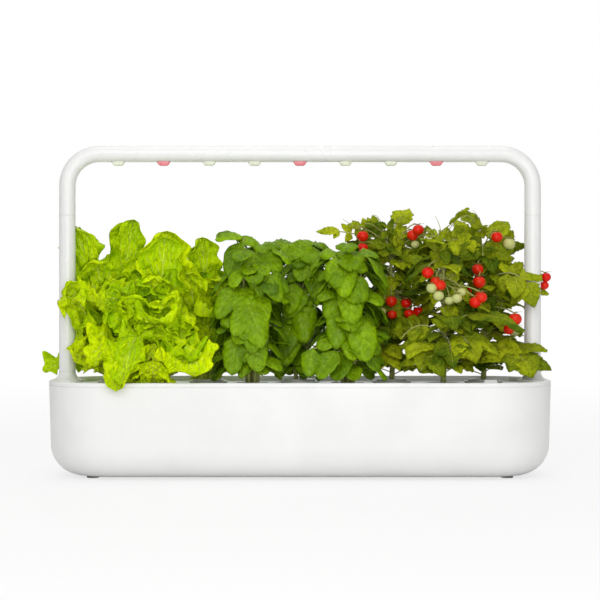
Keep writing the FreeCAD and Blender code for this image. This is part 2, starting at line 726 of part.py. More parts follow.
def make_lid_contact():
    """The pin in the bottom of the right collar that feeds the leg."""
    body = new_body("lid_contact", x=LEG_X)
    foot = f"({SOCKET_BASE} + seat_gap)"
    base = new_sketch(body, "base", level=foot)
    regular(base, 8, f"{SPIGOT} * cos(22.5 * 1 deg)")
    pad(body, base, "6", "base_pad")
    tip = new_sketch(body, "tip", level=f"{foot} + 5")
    regular(tip, 8, "pin_radius")
    pad(body, tip, f"{LEG_BASE} - 3 - {foot} - 5", "tip_pad")
    return body


def make_cup(number, x, y):
    """A drafted twelve-sided basket with a flange on the tray and root slots round it."""
    body = new_body(f"pod_cup_{number}", x, y, FLANGE_BASE)
    mouth = regular(new_sketch(body, "mouth"), 12, CUP_MOUTH)
    lean = draft(body, sink(body, mouth, "cup_depth", "basket"), "cup_draft")
    shell = body.newObject("PartDesign::Thickness", "shell")
    top = [f"Face{i}" for i, f in enumerate(lean.Shape.Faces, 1) if f.CenterOfMass.z > -0.01]
    shell.Base = (lean, top)
    shell.setExpression("Value", bound("cup_wall"))
    shell.Reversed = True
    shell.Join = 1
    flange = regular(new_sketch(body, "flange"), 12, "cup_radius + cup_flange")
    regular(flange, 12, f"{CUP_MOUTH} - cup_wall")
    pad(body, flange, "flange_height", "flange_pad")
    slot = new_sketch(body, "slot", "XZ_Plane")
    foot = "(4 - cup_depth)"
    box_outline(slot, "-slot_width / 2", "slot_width / 2", foot, f"{foot} + slot_height")
    cut = pocket(body, slot, "2 * cup_radius + 4", name="slot_pair")
    cut.Midplane = True
    turned = body.newObject("PartDesign::PolarPattern", "slots")
    turned.Originals = [cut]
    turned.Axis = (origin_plane(body, "Z_Axis"), [""])
    turned.Angle = 180
    turned.Occurrences = 2
    body.Tip = turned
    return body


def make_soil(number, x, y):
    """The plug of soil that fills the cup, with a bevelled top."""
    body = new_body(f"soil_plug_{number}", x, y, FLANGE_BASE)
    reach = f"{CUP_MOUTH} - cup_wall - fit_gap"
    mouth = regular(new_sketch(body, "mouth"), 12, reach)
    draft(body, sink(body, mouth, "cup_depth - cup_wall - seat_gap", "plug"), "cup_draft")
    top = regular(new_sketch(body, "top"), 12, reach)
    crown = pad(body, top, f"{SOIL_TOP} - {FLANGE_BASE}", "crown")
    doc.recompute()
    high = crown.Shape.BoundBox.ZMax - 0.01
    edges = [f"Edge{i}" for i, e in enumerate(crown.Shape.Edges, 1) if e.BoundBox.ZMin > high]
    bevel = body.newObject("PartDesign::Chamfer", "bevel")
    bevel.Base = (crown, edges)
    bevel.setExpression("Size", bound("soil_rise"))
    return body


def make_float():
    """A float on a long stem whose tip shows the water's level in the tray's corner."""
    top = f"({TRAY_BASE} - float_drop)"
    body = new_body("float", "-4 * pod_pitch", "-pod_row", top)
    block = regular(new_sketch(body, "block"), 12, "float_radius")
    sink(body, block, "float_height", "block_pad")
    stem = regular(new_sketch(body, "stem", level="-1"), 8, "stem_radius")
    pad(body, stem, f"{TRAY_TOP} + stem_rise - {top} + 1", "stem_pad")
    return body


def make_fill_cap():
    """The stopper over the filling hole, hollow below, with a finger tab."""
    body = new_body("fill_cap", "4 * pod_pitch", "-pod_row", FLANGE_BASE)
    plug = new_sketch(body, "plug")
    side = "(cap_side - 2 * fit_gap)"
    blunt(plug, side, side, "4")
    sink(body, plug, "cap_plug", "plug_pad")
    flange = new_sketch(body, "flange")
    blunt(flange, "cap_side + 6", "cap_side + 6", "5")
    pad(body, flange, "1.8", "flange_pad")
    hollow = new_sketch(body, "hollow", level="-cap_plug - 1")
    blunt(hollow, f"{side} - 3", f"{side} - 3", "3.4")
    pocket(body, hollow, "cap_plug + 0.6", forward=True, name="hollow_way")
    tab = new_sketch(body, "tab", "XZ_Plane", level="-1.5")
    outline(tab, [("-9", "1"), ("9", "1"), ("7", "tab_height"), ("-7", "tab_height")])
    pad(body, tab, "3", "tab_pad")
    return body


def make_control_box():
    """The open-topped box screwed under the tray; its back fills the tank's notch."""
    body = new_body("control_box", "control_x", CONTROL_Y)
    x, y = "control_length / 2", "control_width / 2"
    base = new_sketch(body, "base", level=BOX_BASE)
    box_outline(base, f"-{x}", x, f"-{y}", y)
    pad(body, base, "control_height")
    ears = new_sketch(body, "ears", level=EAR_BASE)
    box_outline(ears, f"-{x} - 10", f"{x} + 10", "-6", "6")
    pad(body, ears, "ear_height", "ear_pad")
    back = new_sketch(body, "back", "XZ_Plane", f"back_inset + {CONTROL_Y} - tank_width / 2")
    notch_outline(back, "fit_gap")
    reach = f"tank_width / 2 - back_inset - {CONTROL_Y} - control_width / 2"
    pad(body, back, f"{reach} + 1", "back_pad")
    step = new_sketch(body, "back_step", level="tank_top + 1")
    edge = f"-{SKIRT_BACK} - {CONTROL_Y} + seat_gap"
    box_outline(step, "-notch_width / 2", "notch_width / 2", f"{y} - 2", edge)
    pocket(body, step, f"tank_top + 1 - {BOX_TOP}", name="back_way")
    well = new_sketch(body, "well", level=f"{BOX_TOP} + 1")
    inner_x, inner_y = f"({x} - control_wall)", f"({y} - control_wall)"
    box_outline(well, f"-{inner_x}", inner_x, f"-{inner_y}", f"{inner_y} - 14")
    pocket(body, well, "control_height + 1 - control_wall", name="hollow")
    posts = new_sketch(body, "posts", level=f"{BOX_BASE} + control_wall / 2")
    for across in (f"-{inner_x}", f"{inner_x} - 5"):
        for along in (f"-{inner_y}", f"{inner_y} - 19"):
            box_outline(posts, across, f"{across} + 5", along, f"{along} + 5")
    pad(body, posts, f"{BOARD_LEVEL} - seat_gap - {BOX_BASE} - control_wall / 2", "post_pads")
    bore = new_sketch(body, "jack_bore", "XZ_Plane")
    jack = "(jack_side / 2 + seat_gap)"
    box_outline(bore, f"-{jack}", jack, f"{JACK_LEVEL} - {jack}", f"{JACK_LEVEL} + {jack}")
    pocket(body, bore, f"tank_width / 2 - {CONTROL_Y} + 1", name="jack_way")
    ways = new_sketch(body, "ear_holes", level=f"{EAR_BASE} + ear_height + 1")
    for side in (LEFT, RIGHT):
        regular(ways, 6, "screw_radius + seat_gap", f"{side} * (control_length / 2 + 6)")
    pocket(body, ways, "ear_height + 2", name="ear_ways")
    return body


def make_control_board():
    """The timer board on its posts, with its chips and the push switch."""
    body = new_body("control_board", "control_x", CONTROL_Y, BOARD_LEVEL)
    x = "(control_length / 2 - control_wall - 0.5)"
    near = "(-control_width / 2 + control_wall + 0.5)"
    far = "(control_width / 2 - control_wall - 14.5)"
    plate = new_sketch(body, "plate")
    box_outline(plate, f"-{x}", x, near, far)
    pad(body, plate, "board_height", "plate_pad")
    chips = new_sketch(body, "chips", level="board_height / 2")
    box_outline(chips, "-14", "-4", "-16", "-6")
    box_outline(chips, "6", "15", "-18", "-10")
    box_outline(chips, "-3", "3", "2", "8")
    pad(body, chips, "3", "chip_pads")
    plunger = new_sketch(body, "plunger", level="3")
    box_outline(plunger, "-1.5", "1.5", "3.5", "6.5")
    reach = f"{BOX_TOP} - button_flange - button_travel - seat_gap - {BOARD_LEVEL} - 3"
    pad(body, plunger, reach, "plunger_pad")
    return body


def make_power_jack():
    """The inlet in the back of the box: a block with a round bore and a centre pin."""
    middle = "control_x"
    body = new_body("power_jack", middle, "tank_width / 2 - back_inset", JACK_LEVEL)
    block = new_sketch(body, "block", "XZ_Plane")
    side = "jack_side / 2"
    box_outline(block, f"-{side}", side, f"-{side}", side)
    pad(body, block, "jack_length", "block_pad")
    bore = new_sketch(body, "bore", "XZ_Plane", level="-1")
    circle(bore, "0", "0", "jack_bore")
    cut = pocket(body, bore, "jack_length - 2", name="bore_way", forward=True)
    cut.Reversed = True
    tip = new_sketch(body, "tip", "XZ_Plane", level="1.5")
    regular(tip, 8, "1")
    pad(body, tip, "jack_length - 3", "tip_pad")
    return body


def make_button():
    """The light key: a blunt cap through the tray and a flange that keeps it in."""
    body = new_body("light_button", "control_x", KEY_Y, BOX_TOP)
    flange = new_sketch(body, "flange")
    blunt(flange, "button_length + 3", "button_width + 3", "2")
    sink(body, flange, "button_flange", "flange_pad")
    cap = new_sketch(body, "cap", level="-button_flange / 2")
    blunt(cap, "button_length - 2 * fit_gap", "button_width - 2 * fit_gap", "2")
    pad(body, cap, f"{TRAY_TOP} + button_rise - {BOX_TOP} + button_flange / 2", "cap_pad")
    return body


def make_screws():
    """Two hexagon screws that hold the box's ears to the lid's posts."""
    body = new_body("box_screws", "control_x", CONTROL_Y, f"{EAR_BASE} - seat_gap")
    heads = new_sketch(body, "heads")
    shanks = new_sketch(body, "shanks", level="-1")
    for side in (LEFT, RIGHT):
        place = f"{side} * (control_length / 2 + 6)"
        regular(heads, 6, "2 * screw_radius", place)
        regular(shanks, 6, "screw_radius", place)
    sink(body, heads, "2", "head_pads")
    pad(body, shanks, "ear_height + post_height + 1", "shank_pads")
    return body


# Leaves are closed blades given by where the tip is from the pod's middle and the soil,
# as across, back, up, then the blade's width, the arch of its midrib and where it starts.
LETTUCE = {
    1: [(-50, 2, 188, 40, 14, 0), (14, 12, 196, 50, 8, 0), (32, 36, 140, 46, 16, 0),
        (-62, 26, 66, 46, 26, 0), (-18, -28, 132, 40, 12, 0), (2, 56, 84, 50, 24, 0)],
    2: [(10, -6, 174, 54, 8, 0), (-56, -22, 124, 44, 20, 0), (-98, -12, 96, 42, 34, 0),
        (-34, -64, 0, 44, 56, 0), (44, -46, 26, 56, 24, 0), (2, -56, 72, 50, 26, 0),
        (34, -4, 116, 44, 14, 0)],
    3: [(-14, 8, 168, 46, 8, 0), (28, 24, 132, 46, 14, 0), (-34, 32, 136, 42, 14, 0),
        (34, 44, 72, 50, 22, 0), (4, -10, 122, 40, 8, 0), (-2, 58, 66, 48, 22, 0)],
}
BASIL = {
    1: [(-42, -14, 172, 28, 14, 150), (34, 0, 160, 28, 12, 148), (-40, 6, 118, 32, 14, 108),
        (36, -24, 110, 32, 14, 106), (-34, -36, 70, 34, 14, 66), (36, 4, 66, 32, 14, 64),
        (4, -54, 118, 30, 14, 120), (-10, -46, 28, 34, 14, 36)],
    2: [(-38, 6, 166, 32, 12, 152), (36, 16, 164, 32, 12, 150), (-34, 22, 112, 34, 14, 106),
        (40, 26, 108, 34, 14, 104), (0, 50, 134, 34, 14, 128), (-30, 42, 66, 34, 14, 62),
        (30, 46, 62, 34, 14, 60)],
    3: [(-34, -12, 150, 30, 12, 138), (36, -6, 148, 30, 12, 136), (4, -52, 136, 32, 14, 130),
        (-36, -26, 98, 32, 14, 94), (40, -22, 92, 34, 14, 92), (2, -56, 66, 34, 14, 66),
        (34, -36, 34, 34, 14, 44), (-34, -34, 40, 32, 14, 44)],
}
TOMATO = {
    1: [(-42, 18, 192, 40, 14, 150), (24, 22, 212, 36, 8, 176), (38, 34, 150, 42, 14, 110),
        (-38, 36, 96, 46, 18, 60), (12, 62, 104, 44, 18, 80), (-22, -2, 52, 40, 16, 30)],
    2: [(-24, -42, 168, 36, 12, 140), (28, -24, 206, 36, 8, 172), (92, -34, 98, 40, 26, 96),
        (64, -18, 34, 42, 22, 30), (-46, -42, 30, 42, 20, 26), (8, -62, 66, 40, 16, 60)],
    3: [(-26, 10, 210, 38, 8, 172), (34, 22, 196, 38, 12, 150), (62, 30, 128, 42, 20, 100),
        (-30, 40, 108, 42, 18, 76), (52, 40, 52, 44, 20, 36), (6, 62, 84, 44, 18, 60)],
}
# Tomatoes hang below stalks: across, back and up from the same point, then where the stalk starts.
RIPE = {
    1: [(-37, -22, 177, 160), (24, -30, 178, 152), (2, -26, 97, 118), (32, -25, 84, 108)],
    2: [(-20, -20, 131, 146), (-6, -24, 116, 132), (36, -20, 96, 116)],
    3: [(-11, -34, 136, 150), (-24, -26, 108, 124), (14, -22, 176, 160), (30, -22, 70, 88)],
}
GREEN = {
    1: [(-14, -30, 84, 112)],
    2: [(5, -22, 98, 118), (20, -18, 108, 124)],
    3: [(30, -16, 168, 156), (36, -14, 58, 80)],
}
KINDS = (("lettuce", LETTUCE, 0), ("basil", BASIL, 3), ("tomato_plant", TOMATO, 6))


def solid_of(faces):
    """A solid from rings of corners, each ring one flat face."""
    made = [Part.Face(Part.makePolygon(list(ring) + [ring[0]])) for ring in faces]
    solid = Part.makeSolid(Part.makeShell(made))
    return solid if solid.Volume > 0 else solid.reversed()


def blade(root, tip, width, arch):
    """A leaf: a midrib bent upwards by arch, thick there and sharp along both edges."""
    along = tip - root
    side = along.cross(UP)
    if side.Length < 0.3 * along.Length:
        side = V(along.Length, 0, 0)
    side.normalize()
    lift = side.cross(along)
    lift.normalize()
    thick = lift * (now("leaf_thickness") / 2)
    stops = ((0.3, 0.22), (0.55, 0.5), (0.8, 0.38))
    ribs = [root + along * t + UP * (4 * arch * t * (1 - t)) for t, _ in stops]
    lefts = [rib + side * (width * w) for rib, (_, w) in zip(ribs, stops)]
    rights = [rib - side * (width * w) for rib, (_, w) in zip(ribs, stops)]
    faces = []
    for edge, turn in ((lefts, 1), (rights, -1)):
        for skin in (thick, thick * -1):
            over = [rib + skin for rib in ribs]
            rings = [(root, over[0], edge[0]), (tip, edge[2], over[2])]
            for i in (0, 1):
                rings += [(over[i], over[i + 1], edge[i]), (over[i + 1], edge[i + 1], edge[i])]
            faces += rings
    return solid_of(faces)


def post(start, end, width, sides=5):
    """A straight stalk between two points, cut square to its length."""
    along = end - start
    first = along.cross(V(0, 1, 0.02))
    first.normalize()
    second = along.cross(first)
    second.normalize()
    turns = [2 * math.pi * i / sides for i in range(sides)]
    ring = [first * (width / 2 * math.cos(a)) + second * (width / 2 * math.sin(a)) for a in turns]
    low = [start + spot for spot in ring]
    high = [end + spot for spot in ring]
    walls = [(low[i - 1], low[i], high[i], high[i - 1]) for i in range(sides)]
    return solid_of([low, high] + walls)


def plant_solid(ground, leaves, fruits, width):
    """One plant: a stem, its leaves and the stalks that carry its tomatoes, fused."""
    reach = max(start for *_, start in leaves) + 6 if leaves[0][5] else 14
    stem = post(ground, ground + V(0, 0, reach), width, 6)
    limbs = []
    for across, back, up, wide, arch, start in leaves:
        root = ground + V(0, 0, max(start, 6))
        limbs.append(blade(root, ground + V(across, back, up), wide, arch))
    for across, back, up, start, radius in fruits:
        top = ground + V(across, back, up + radius + now("seat_gap"))
        knee = top + V(0, 0, 4)
        limbs.append(post(ground + V(0, 0, start), knee, 1.8, 4))
        limbs.append(post(top, knee + V(0, 0, 0.6), 1.8, 4))
    return stem.multiFuse(limbs).removeSplitter()


def tomato(centre, radius):
    """A fruit as an eight-sided barrel with flat poles."""
    rings = []
    for rise, reach in ((-1, 0.42), (-0.35, 0.98), (0.45, 0.95), (1, 0.4)):
        turns = [math.pi * (i + 0.5) / 4 for i in range(8)]
        middle = centre + V(0, 0, rise * radius)
        rings.append([middle + V(math.cos(a), math.sin(a), 0) * (reach * radius) for a in turns])
    faces = [rings[0], rings[-1]]
    for low, high in zip(rings, rings[1:]):
        faces += [(low[i - 1], low[i], high[i], high[i - 1]) for i in range(8)]
    return solid_of(faces)


def add_solid(label, shape):
    feature = doc.addObject("Part::Feature", label)
    feature.Label = label
    feature.Shape = shape
    feature.Placement = FreeCAD.Placement()
    return feature


def make_plants():
    """Nine plants on their soil plugs, and each tomato plant's ripe and unripe fruits."""
    made = []
    places = [V(now(x), now(y), now(SOIL_TOP) + now("seat_gap")) for _, x, y in pod_places()]
    for kind, table, first in KINDS:
        width = now("crown_width") if kind == "lettuce" else now("stem_width")
        for number, leaves in table.items():
            ground = places[first + number - 1]
            fruits = []
            if kind == "tomato_plant":
                fruits += [(*spot, now("ripe_radius")) for spot in RIPE[number]]
                fruits += [(*spot, now("green_radius")) for spot in GREEN[number]]
            made.append(add_solid(f"{kind}_{number}", plant_solid(ground, leaves, fruits, width)))
    for name, table, size in (("ripe", RIPE, "ripe_radius"), ("unripe", GREEN, "green_radius")):
        for number, spots in table.items():
            ground = places[6 + number - 1]
            fruit = [tomato(ground + V(a, b, up), now(size)) for a, b, up, _ in spots]
            shape = Part.makeCompound(fruit) if len(fruit) > 1 else fruit[0]
            made.append(add_solid(f"{name}_tomatoes_{number}", shape))
    return made


def make_all():
    parts = [make_tank(), make_feet(), make_lid()]
    parts += [make_leg("left_leg", LEFT), make_leg("right_leg", RIGHT), make_lamp()]
    parts += [make_lens(step) for step in range(-4, 5)]
    parts += [make_led_board(), make_lamp_plug(), make_leg_harness(), make_lid_contact()]
    for number, x, y in pod_places():
        parts += [make_cup(number, x, y), make_soil(number, x, y)]
    parts += [make_float(), make_fill_cap(), make_control_box(), make_control_board()]
    parts += [make_power_jack(), make_button(), make_screws()]
    return parts + make_plants()


def check(parts):
    """Stop before anything is written if an object failed or a shape isn't sound."""
    for item in doc.Objects:
        if "Invalid" in item.State or "Error" in item.State:
            raise RuntimeError(f"{item.Label} failed: {item.State}")
    for item in parts:
        if item.Shape.isNull() or not item.Shape.isValid() or not item.Shape.Solids:
            raise RuntimeError(f"{item.Label} has no sound solid")


parts = make_all()
doc.recompute()
check(parts)
os.makedirs("parts", exist_ok=True)
for item in parts:
    item.Shape.exportStep(f"parts/{item.Label}.step")
    box = item.Shape.BoundBox
    print(f"{item.Label:18s} {len(item.Shape.Solids):2d} solids  {item.Shape.Volume / 1000:9.2f} cm3"
          f"  z {box.ZMin:6.1f}..{box.ZMax:6.1f}")
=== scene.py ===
import math

import bmesh
import bpy
import numpy as np
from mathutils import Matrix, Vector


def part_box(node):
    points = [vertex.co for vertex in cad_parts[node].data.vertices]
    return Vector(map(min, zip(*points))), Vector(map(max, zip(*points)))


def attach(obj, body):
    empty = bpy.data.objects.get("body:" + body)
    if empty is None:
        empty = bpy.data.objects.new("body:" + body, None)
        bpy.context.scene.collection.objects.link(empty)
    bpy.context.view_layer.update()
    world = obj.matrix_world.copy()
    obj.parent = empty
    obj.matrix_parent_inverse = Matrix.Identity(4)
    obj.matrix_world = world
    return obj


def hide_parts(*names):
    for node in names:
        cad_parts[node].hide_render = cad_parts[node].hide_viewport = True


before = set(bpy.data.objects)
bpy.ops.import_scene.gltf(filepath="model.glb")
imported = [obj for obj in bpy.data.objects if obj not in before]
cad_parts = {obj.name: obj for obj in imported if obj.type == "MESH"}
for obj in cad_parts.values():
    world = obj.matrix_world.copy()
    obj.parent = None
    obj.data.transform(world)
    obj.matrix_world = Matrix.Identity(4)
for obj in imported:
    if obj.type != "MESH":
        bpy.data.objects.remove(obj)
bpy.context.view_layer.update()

bl_info = {
    "name": "Countertop hydroponic garden",
    "version": (1, 0, 0),
    "blender": (4, 5, 0),
    "location": "3D View > Sidebar > Garden",
    "description": "Finishes a nine-cup hydroponic garden: shell, lamp, cups, soil, plants and fruit",
    "category": "Add Mesh",
}

MM = 0.001
SOIL_TOP = 113.2
POD_PITCH, POD_ROW = 57.0, 38.0
CUP_RADIUS, CUP_FLANGE, CUP_DEPTH, CUP_LEAN = 19.75, 24.0, 45.8, 0.105
FLANGE_BASE, FLANGE_TOP = 109.6, 112.0
RED_LENSES = (2, 5, 8)
GOLDEN = math.radians(137.508)
LEG_CLEAR, CAP_CLEAR, FRUIT_CLEAR = 11.5, 21.0, 12.0
LETTUCE_FILL, BASIL_FILL, TOMATO_FILL = 17, 84, 74
BASIL_STEMS, BASIL_TOP, MIDDLE_BASIL_TOP = 5, 150, 158
COVER_RADIUS, LETTUCE_HOLE, STEM_HOLE = 18.9, 9.0, 6.5
MIX_FIRST, MIX_SECOND, MIX_RESULT = 6, 7, 2
UP = np.array([0.0, 0.0, 1.0])


def pod_place(number):
    """Where a pod stands, in millimetres: five in the back row, four in the front row."""
    return (number - 5) * POD_PITCH, POD_ROW if number % 2 else -POD_ROW


# ---------------------------------------------------------------- settings

def colour(label, text, value):
    return bpy.props.FloatVectorProperty(
        name=label, description=text, subtype="COLOR", size=3, min=0, max=1, default=value)


def amount(label, text, value, high=1.0):
    return bpy.props.FloatProperty(
        name=label, description=text, subtype="FACTOR", min=0, max=high, default=value)


def length(label, text, value):
    return bpy.props.FloatProperty(
        name=label, description=text, subtype="DISTANCE", unit="LENGTH", min=0, default=value)


class GardenShell(bpy.types.PropertyGroup):
    """Colours and finish of the tank, lid, legs and lamp."""
    shell: colour("Shell", "Colour of the tank and lid", (0.88, 0.88, 0.87))
    tube: colour("Tube", "Colour of the legs and lamp tube", (0.87, 0.87, 0.86))
    gloss: amount("Roughness", "Roughness of the white mouldings", 0.32)
    pale_lens: colour("Pale lens", "Colour of the plain lenses", (0.72, 0.75, 0.60))
    red_lens: colour("Red lens", "Colour of the tinted lenses", (0.80, 0.21, 0.24))


class GardenSoil(bpy.types.PropertyGroup):
    """Colours and relief of the soil plugs."""
    soil: colour("Soil", "Colour of the damp soil", (0.055, 0.030, 0.016))
    relief: length("Relief", "Height of the crumbs of soil", 0.0012)


class GardenPlants(bpy.types.PropertyGroup):
    """Colours and relief of the three kinds of plants."""
    lettuce: colour("Lettuce", "Colour of the lit lettuce leaves", (0.74, 0.93, 0.001))
    lettuce_deep: colour("Lettuce, deep", "Colour of the older lettuce leaves", (0.330, 0.600, 0.001))
    basil: colour("Basil", "Colour of the basil leaves", (0.270, 0.470, 0.001))
    basil_deep: colour("Basil, deep", "Colour of the older basil leaves", (0.088, 0.190, 0.001))
    tomato: colour("Tomato leaf", "Colour of the young tomato leaves", (0.520, 0.600, 0.010))
    tomato_deep: colour("Tomato leaf, deep", "Colour of the old tomato leaves", (0.066, 0.125, 0.003))
    stem: colour("Stem", "Colour of stems and stalks", (0.520, 0.540, 0.170))
    ripe: colour("Ripe fruit", "Colour of ripe tomatoes", (0.760, 0.010, 0.003))
    unripe: colour("Unripe fruit", "Colour of pale tomatoes", (0.560, 0.600, 0.230))
    leaf: length("Leaf thickness", "Thickness of a leaf", 0.0005)


class GardenStage(bpy.types.PropertyGroup):
    """Camera, floor and lights."""
    distance: length("Distance", "How far the camera stands from the garden", 1.9)
    height: length("Height", "Height of the camera", 0.212)
    focal: bpy.props.FloatProperty(
        name="Focal length", description="Focal length in millimetres", subtype="DISTANCE_CAMERA",
        unit="CAMERA", min=10, default=93.5)
    fill: bpy.props.FloatProperty(
        name="Fill", description="Strength of the light from all round", min=0, default=0.60)
    flags: amount("Flags", "How much darker the light from the two sides is", 0.50)
    key: bpy.props.FloatProperty(
        name="Key", description="Power of the large soft light", subtype="POWER", min=0, default=9.6)


SETTINGS = {"garden_shell": GardenShell, "garden_soil": GardenSoil,
            "garden_plants": GardenPlants, "garden_stage": GardenStage}


# ---------------------------------------------------------------- meshes

def quads(rows, cols, count=1, closed=False):
    """Corners of the squares of count grids, each rows by cols; closed joins the last column to the first."""
    i, j = np.meshgrid(np.arange(rows - 1), np.arange(cols if closed else cols - 1), indexing="ij")
    k = (j + 1) % cols
    one = np.stack([i * cols + j, i * cols + k, (i + 1) * cols + k, (i + 1) * cols + j], -1).reshape(-1, 4)
    return (one[None] + (np.arange(count) * rows * cols)[:, None, None]).reshape(-1, 4)


def add_piece(name, points, faces, uv=None, tone=None, weld=1e-7):
    """Puts arrays of points, in millimetres, and of four-cornered faces into a new smooth mesh object."""
    mesh = bpy.data.meshes.new(name)
    points = np.asarray(points, float).reshape(-1, 3) * MM
    faces = np.asarray(faces).reshape(-1, 4)
    mesh.vertices.add(len(points))
    mesh.vertices.foreach_set("co", points.ravel())
    mesh.loops.add(faces.size)
    mesh.loops.foreach_set("vertex_index", faces.ravel())
    mesh.polygons.add(len(faces))
    mesh.polygons.foreach_set("loop_start", np.arange(0, faces.size, 4))
    mesh.update(calc_edges=True)
    if uv is not None:
        layer = mesh.uv_layers.new(name="UVMap")
        layer.uv.foreach_set("vector", np.asarray(uv, float).reshape(-1, 2)[faces.ravel()].ravel())
    if tone is not None:
        store = mesh.attributes.new("tone", "FLOAT", "POINT")
        store.data.foreach_set("value", np.asarray(tone, float).ravel())
    work = bmesh.new()
    work.from_mesh(mesh)
    bmesh.ops.remove_doubles(work, verts=work.verts, dist=weld)
    bmesh.ops.dissolve_degenerate(work, edges=work.edges, dist=weld)
    work.to_mesh(mesh)
    work.free()
    mesh.polygons.foreach_set("use_smooth", np.ones(len(mesh.polygons), bool))
    piece = bpy.data.objects.new(name, mesh)
    bpy.context.scene.collection.objects.link(piece)
    return piece


def place(piece, body, slot, material, *nodes):
    """Gives a finished piece its material and body, and hides the CAD nodes that it stands for. The slot is
    not used.
    """
    piece.data.materials.clear()
    piece.data.materials.append(material)
    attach(piece, body)
    if nodes:
        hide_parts(*nodes)
    return piece


def turned(profile, steps=48, centre=(0, 0)):
    """A profile of (radius, height) rows turned about an upright line: x = r cos a, y = r sin a,
    z = height."""
    profile = np.asarray(profile, float)
    angle = np.linspace(0, 2 * math.pi, steps, endpoint=False)
    radius, height = profile[:, :1], profile[:, 1:]
    points = np.stack([centre[0] + radius * np.cos(angle), centre[1] + radius * np.sin(angle),
                       height + 0 * angle], -1)
    return points, quads(len(profile), steps, closed=True)


def bezier(start, middle, end, t):
    """Points and unit tangents of the curve (1-t)^2 start + 2t(1-t) middle + t^2 end, for rows of curves."""
    start, middle, end = (np.asarray(p, float)[:, None, :] for p in (start, middle, end))
    t = t[None, :, None]
    points = (1 - t) ** 2 * start + 2 * t * (1 - t) * middle + t ** 2 * end
    tangents = (1 - t) * (middle - start) + t * (end - middle)
    return points, tangents / np.linalg.norm(tangents, axis=-1, keepdims=True)


def flat(rows):
    """Rows of rows of vectors as one list of vectors."""
    return np.asarray(rows).reshape(-1, rows.shape[-1])


def join(*parts):
    """One list of vectors from several."""
    return np.concatenate(parts)


def unit(vectors):
    """Vectors at length one."""
    return vectors / np.maximum(np.linalg.norm(vectors, axis=-1, keepdims=True), 1e-9)


def tubes(points, radius, sides=8):
    """Round rods along rows of points: each ring is the point plus radius (cos a side + sin a up),
    where side and up are square to the path. A point is doubled at radius zero to close each end."""
    points = np.asarray(points, float)
    radius = np.broadcast_to(np.asarray(radius, float), points.shape[:2])
    along = unit(np.gradient(points, axis=1))
    helper = np.where(np.abs(along[..., 2:]) > 0.8, np.array([1.0, 0.2, 0.0]), UP)
    side = unit(np.cross(along, helper))
    up = np.cross(along, side)
    points = np.concatenate([points[:, :1], points, points[:, -1:]], 1)
    radius = np.concatenate([0 * radius[:, :1], radius, 0 * radius[:, -1:]], 1)
    side = np.concatenate([side[:, :1], side, side[:, -1:]], 1)
    up = np.concatenate([up[:, :1], up, up[:, -1:]], 1)
    angle = np.linspace(0, 2 * math.pi, sides, endpoint=False)[:, None]
    rings = points[:, :, None] + radius[:, :, None, None] * (
        np.cos(angle) * side[:, :, None] + np.sin(angle) * up[:, :, None])
    count, rows = rings.shape[:2]
    across, run = np.meshgrid(np.linspace(0, 1, sides), np.linspace(0, 1, rows))
    uv = np.broadcast_to(np.stack([run, across], -1), (count, rows, sides, 2))
    return rings, quads(rows, sides, count, closed=True), uv


def ripple(x, y, seed, waves=7, scale=1.0):
    """Smooth seeded relief, about 1 high: a sum of sines whose directions, paces and phases are drawn
    at random, divided by the root of their number."""
    draw = np.random.default_rng(seed)
    total = 0
    for _ in range(waves):
        turn, phase = draw.uniform(0, 2 * math.pi, 2)
        pace = scale * draw.uniform(0.6, 1.5)
        total = total + np.sin(pace * (x * math.cos(turn) + y * math.sin(turn)) + phase)
    return total / math.sqrt(waves)


def joined(parts):
    """Joins (points, faces, uv, tone) sets into one, numbering the faces onwards."""
    first, points, faces, uvs, tones = 0, [], [], [], []
    for point, face, uv, tone in parts:
        point = np.asarray(point).reshape(-1, 3)
        points.append(point)
        faces.append(np.asarray(face) + first)
        uvs.append(np.asarray(uv).reshape(-1, 2))
        tones.append(np.broadcast_to(tone, len(point)) if np.ndim(tone) == 0 else np.ravel(tone))
        first += len(point)
    return np.concatenate(points), np.concatenate(faces), np.concatenate(uvs), np.concatenate(tones)


def smooth_copy(node, name, angle=28):
    """A merged copy of a CAD node's mesh, smooth except along edges sharper than the angle."""
    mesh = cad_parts[node].data.copy()
    mesh.name = name
    work = bmesh.new()
    work.from_mesh(mesh)
    bmesh.ops.remove_doubles(work, verts=work.verts, dist=1e-6)
    bmesh.ops.dissolve_limit(work, angle_limit=math.radians(0.4), verts=work.verts, edges=work.edges)
    work.to_mesh(mesh)
    work.free()
    mesh.polygons.foreach_set("use_smooth", np.ones(len(mesh.polygons), bool))
    mesh.set_sharp_from_angle(angle=math.radians(angle))
    piece = bpy.data.objects.new(name, mesh)
    bpy.context.scene.collection.objects.link(piece)
    shading = piece.modifiers.new("even shading", "WEIGHTED_NORMAL")
    shading.keep_sharp = True
    return piece


# ---------------------------------------------------------------- materials

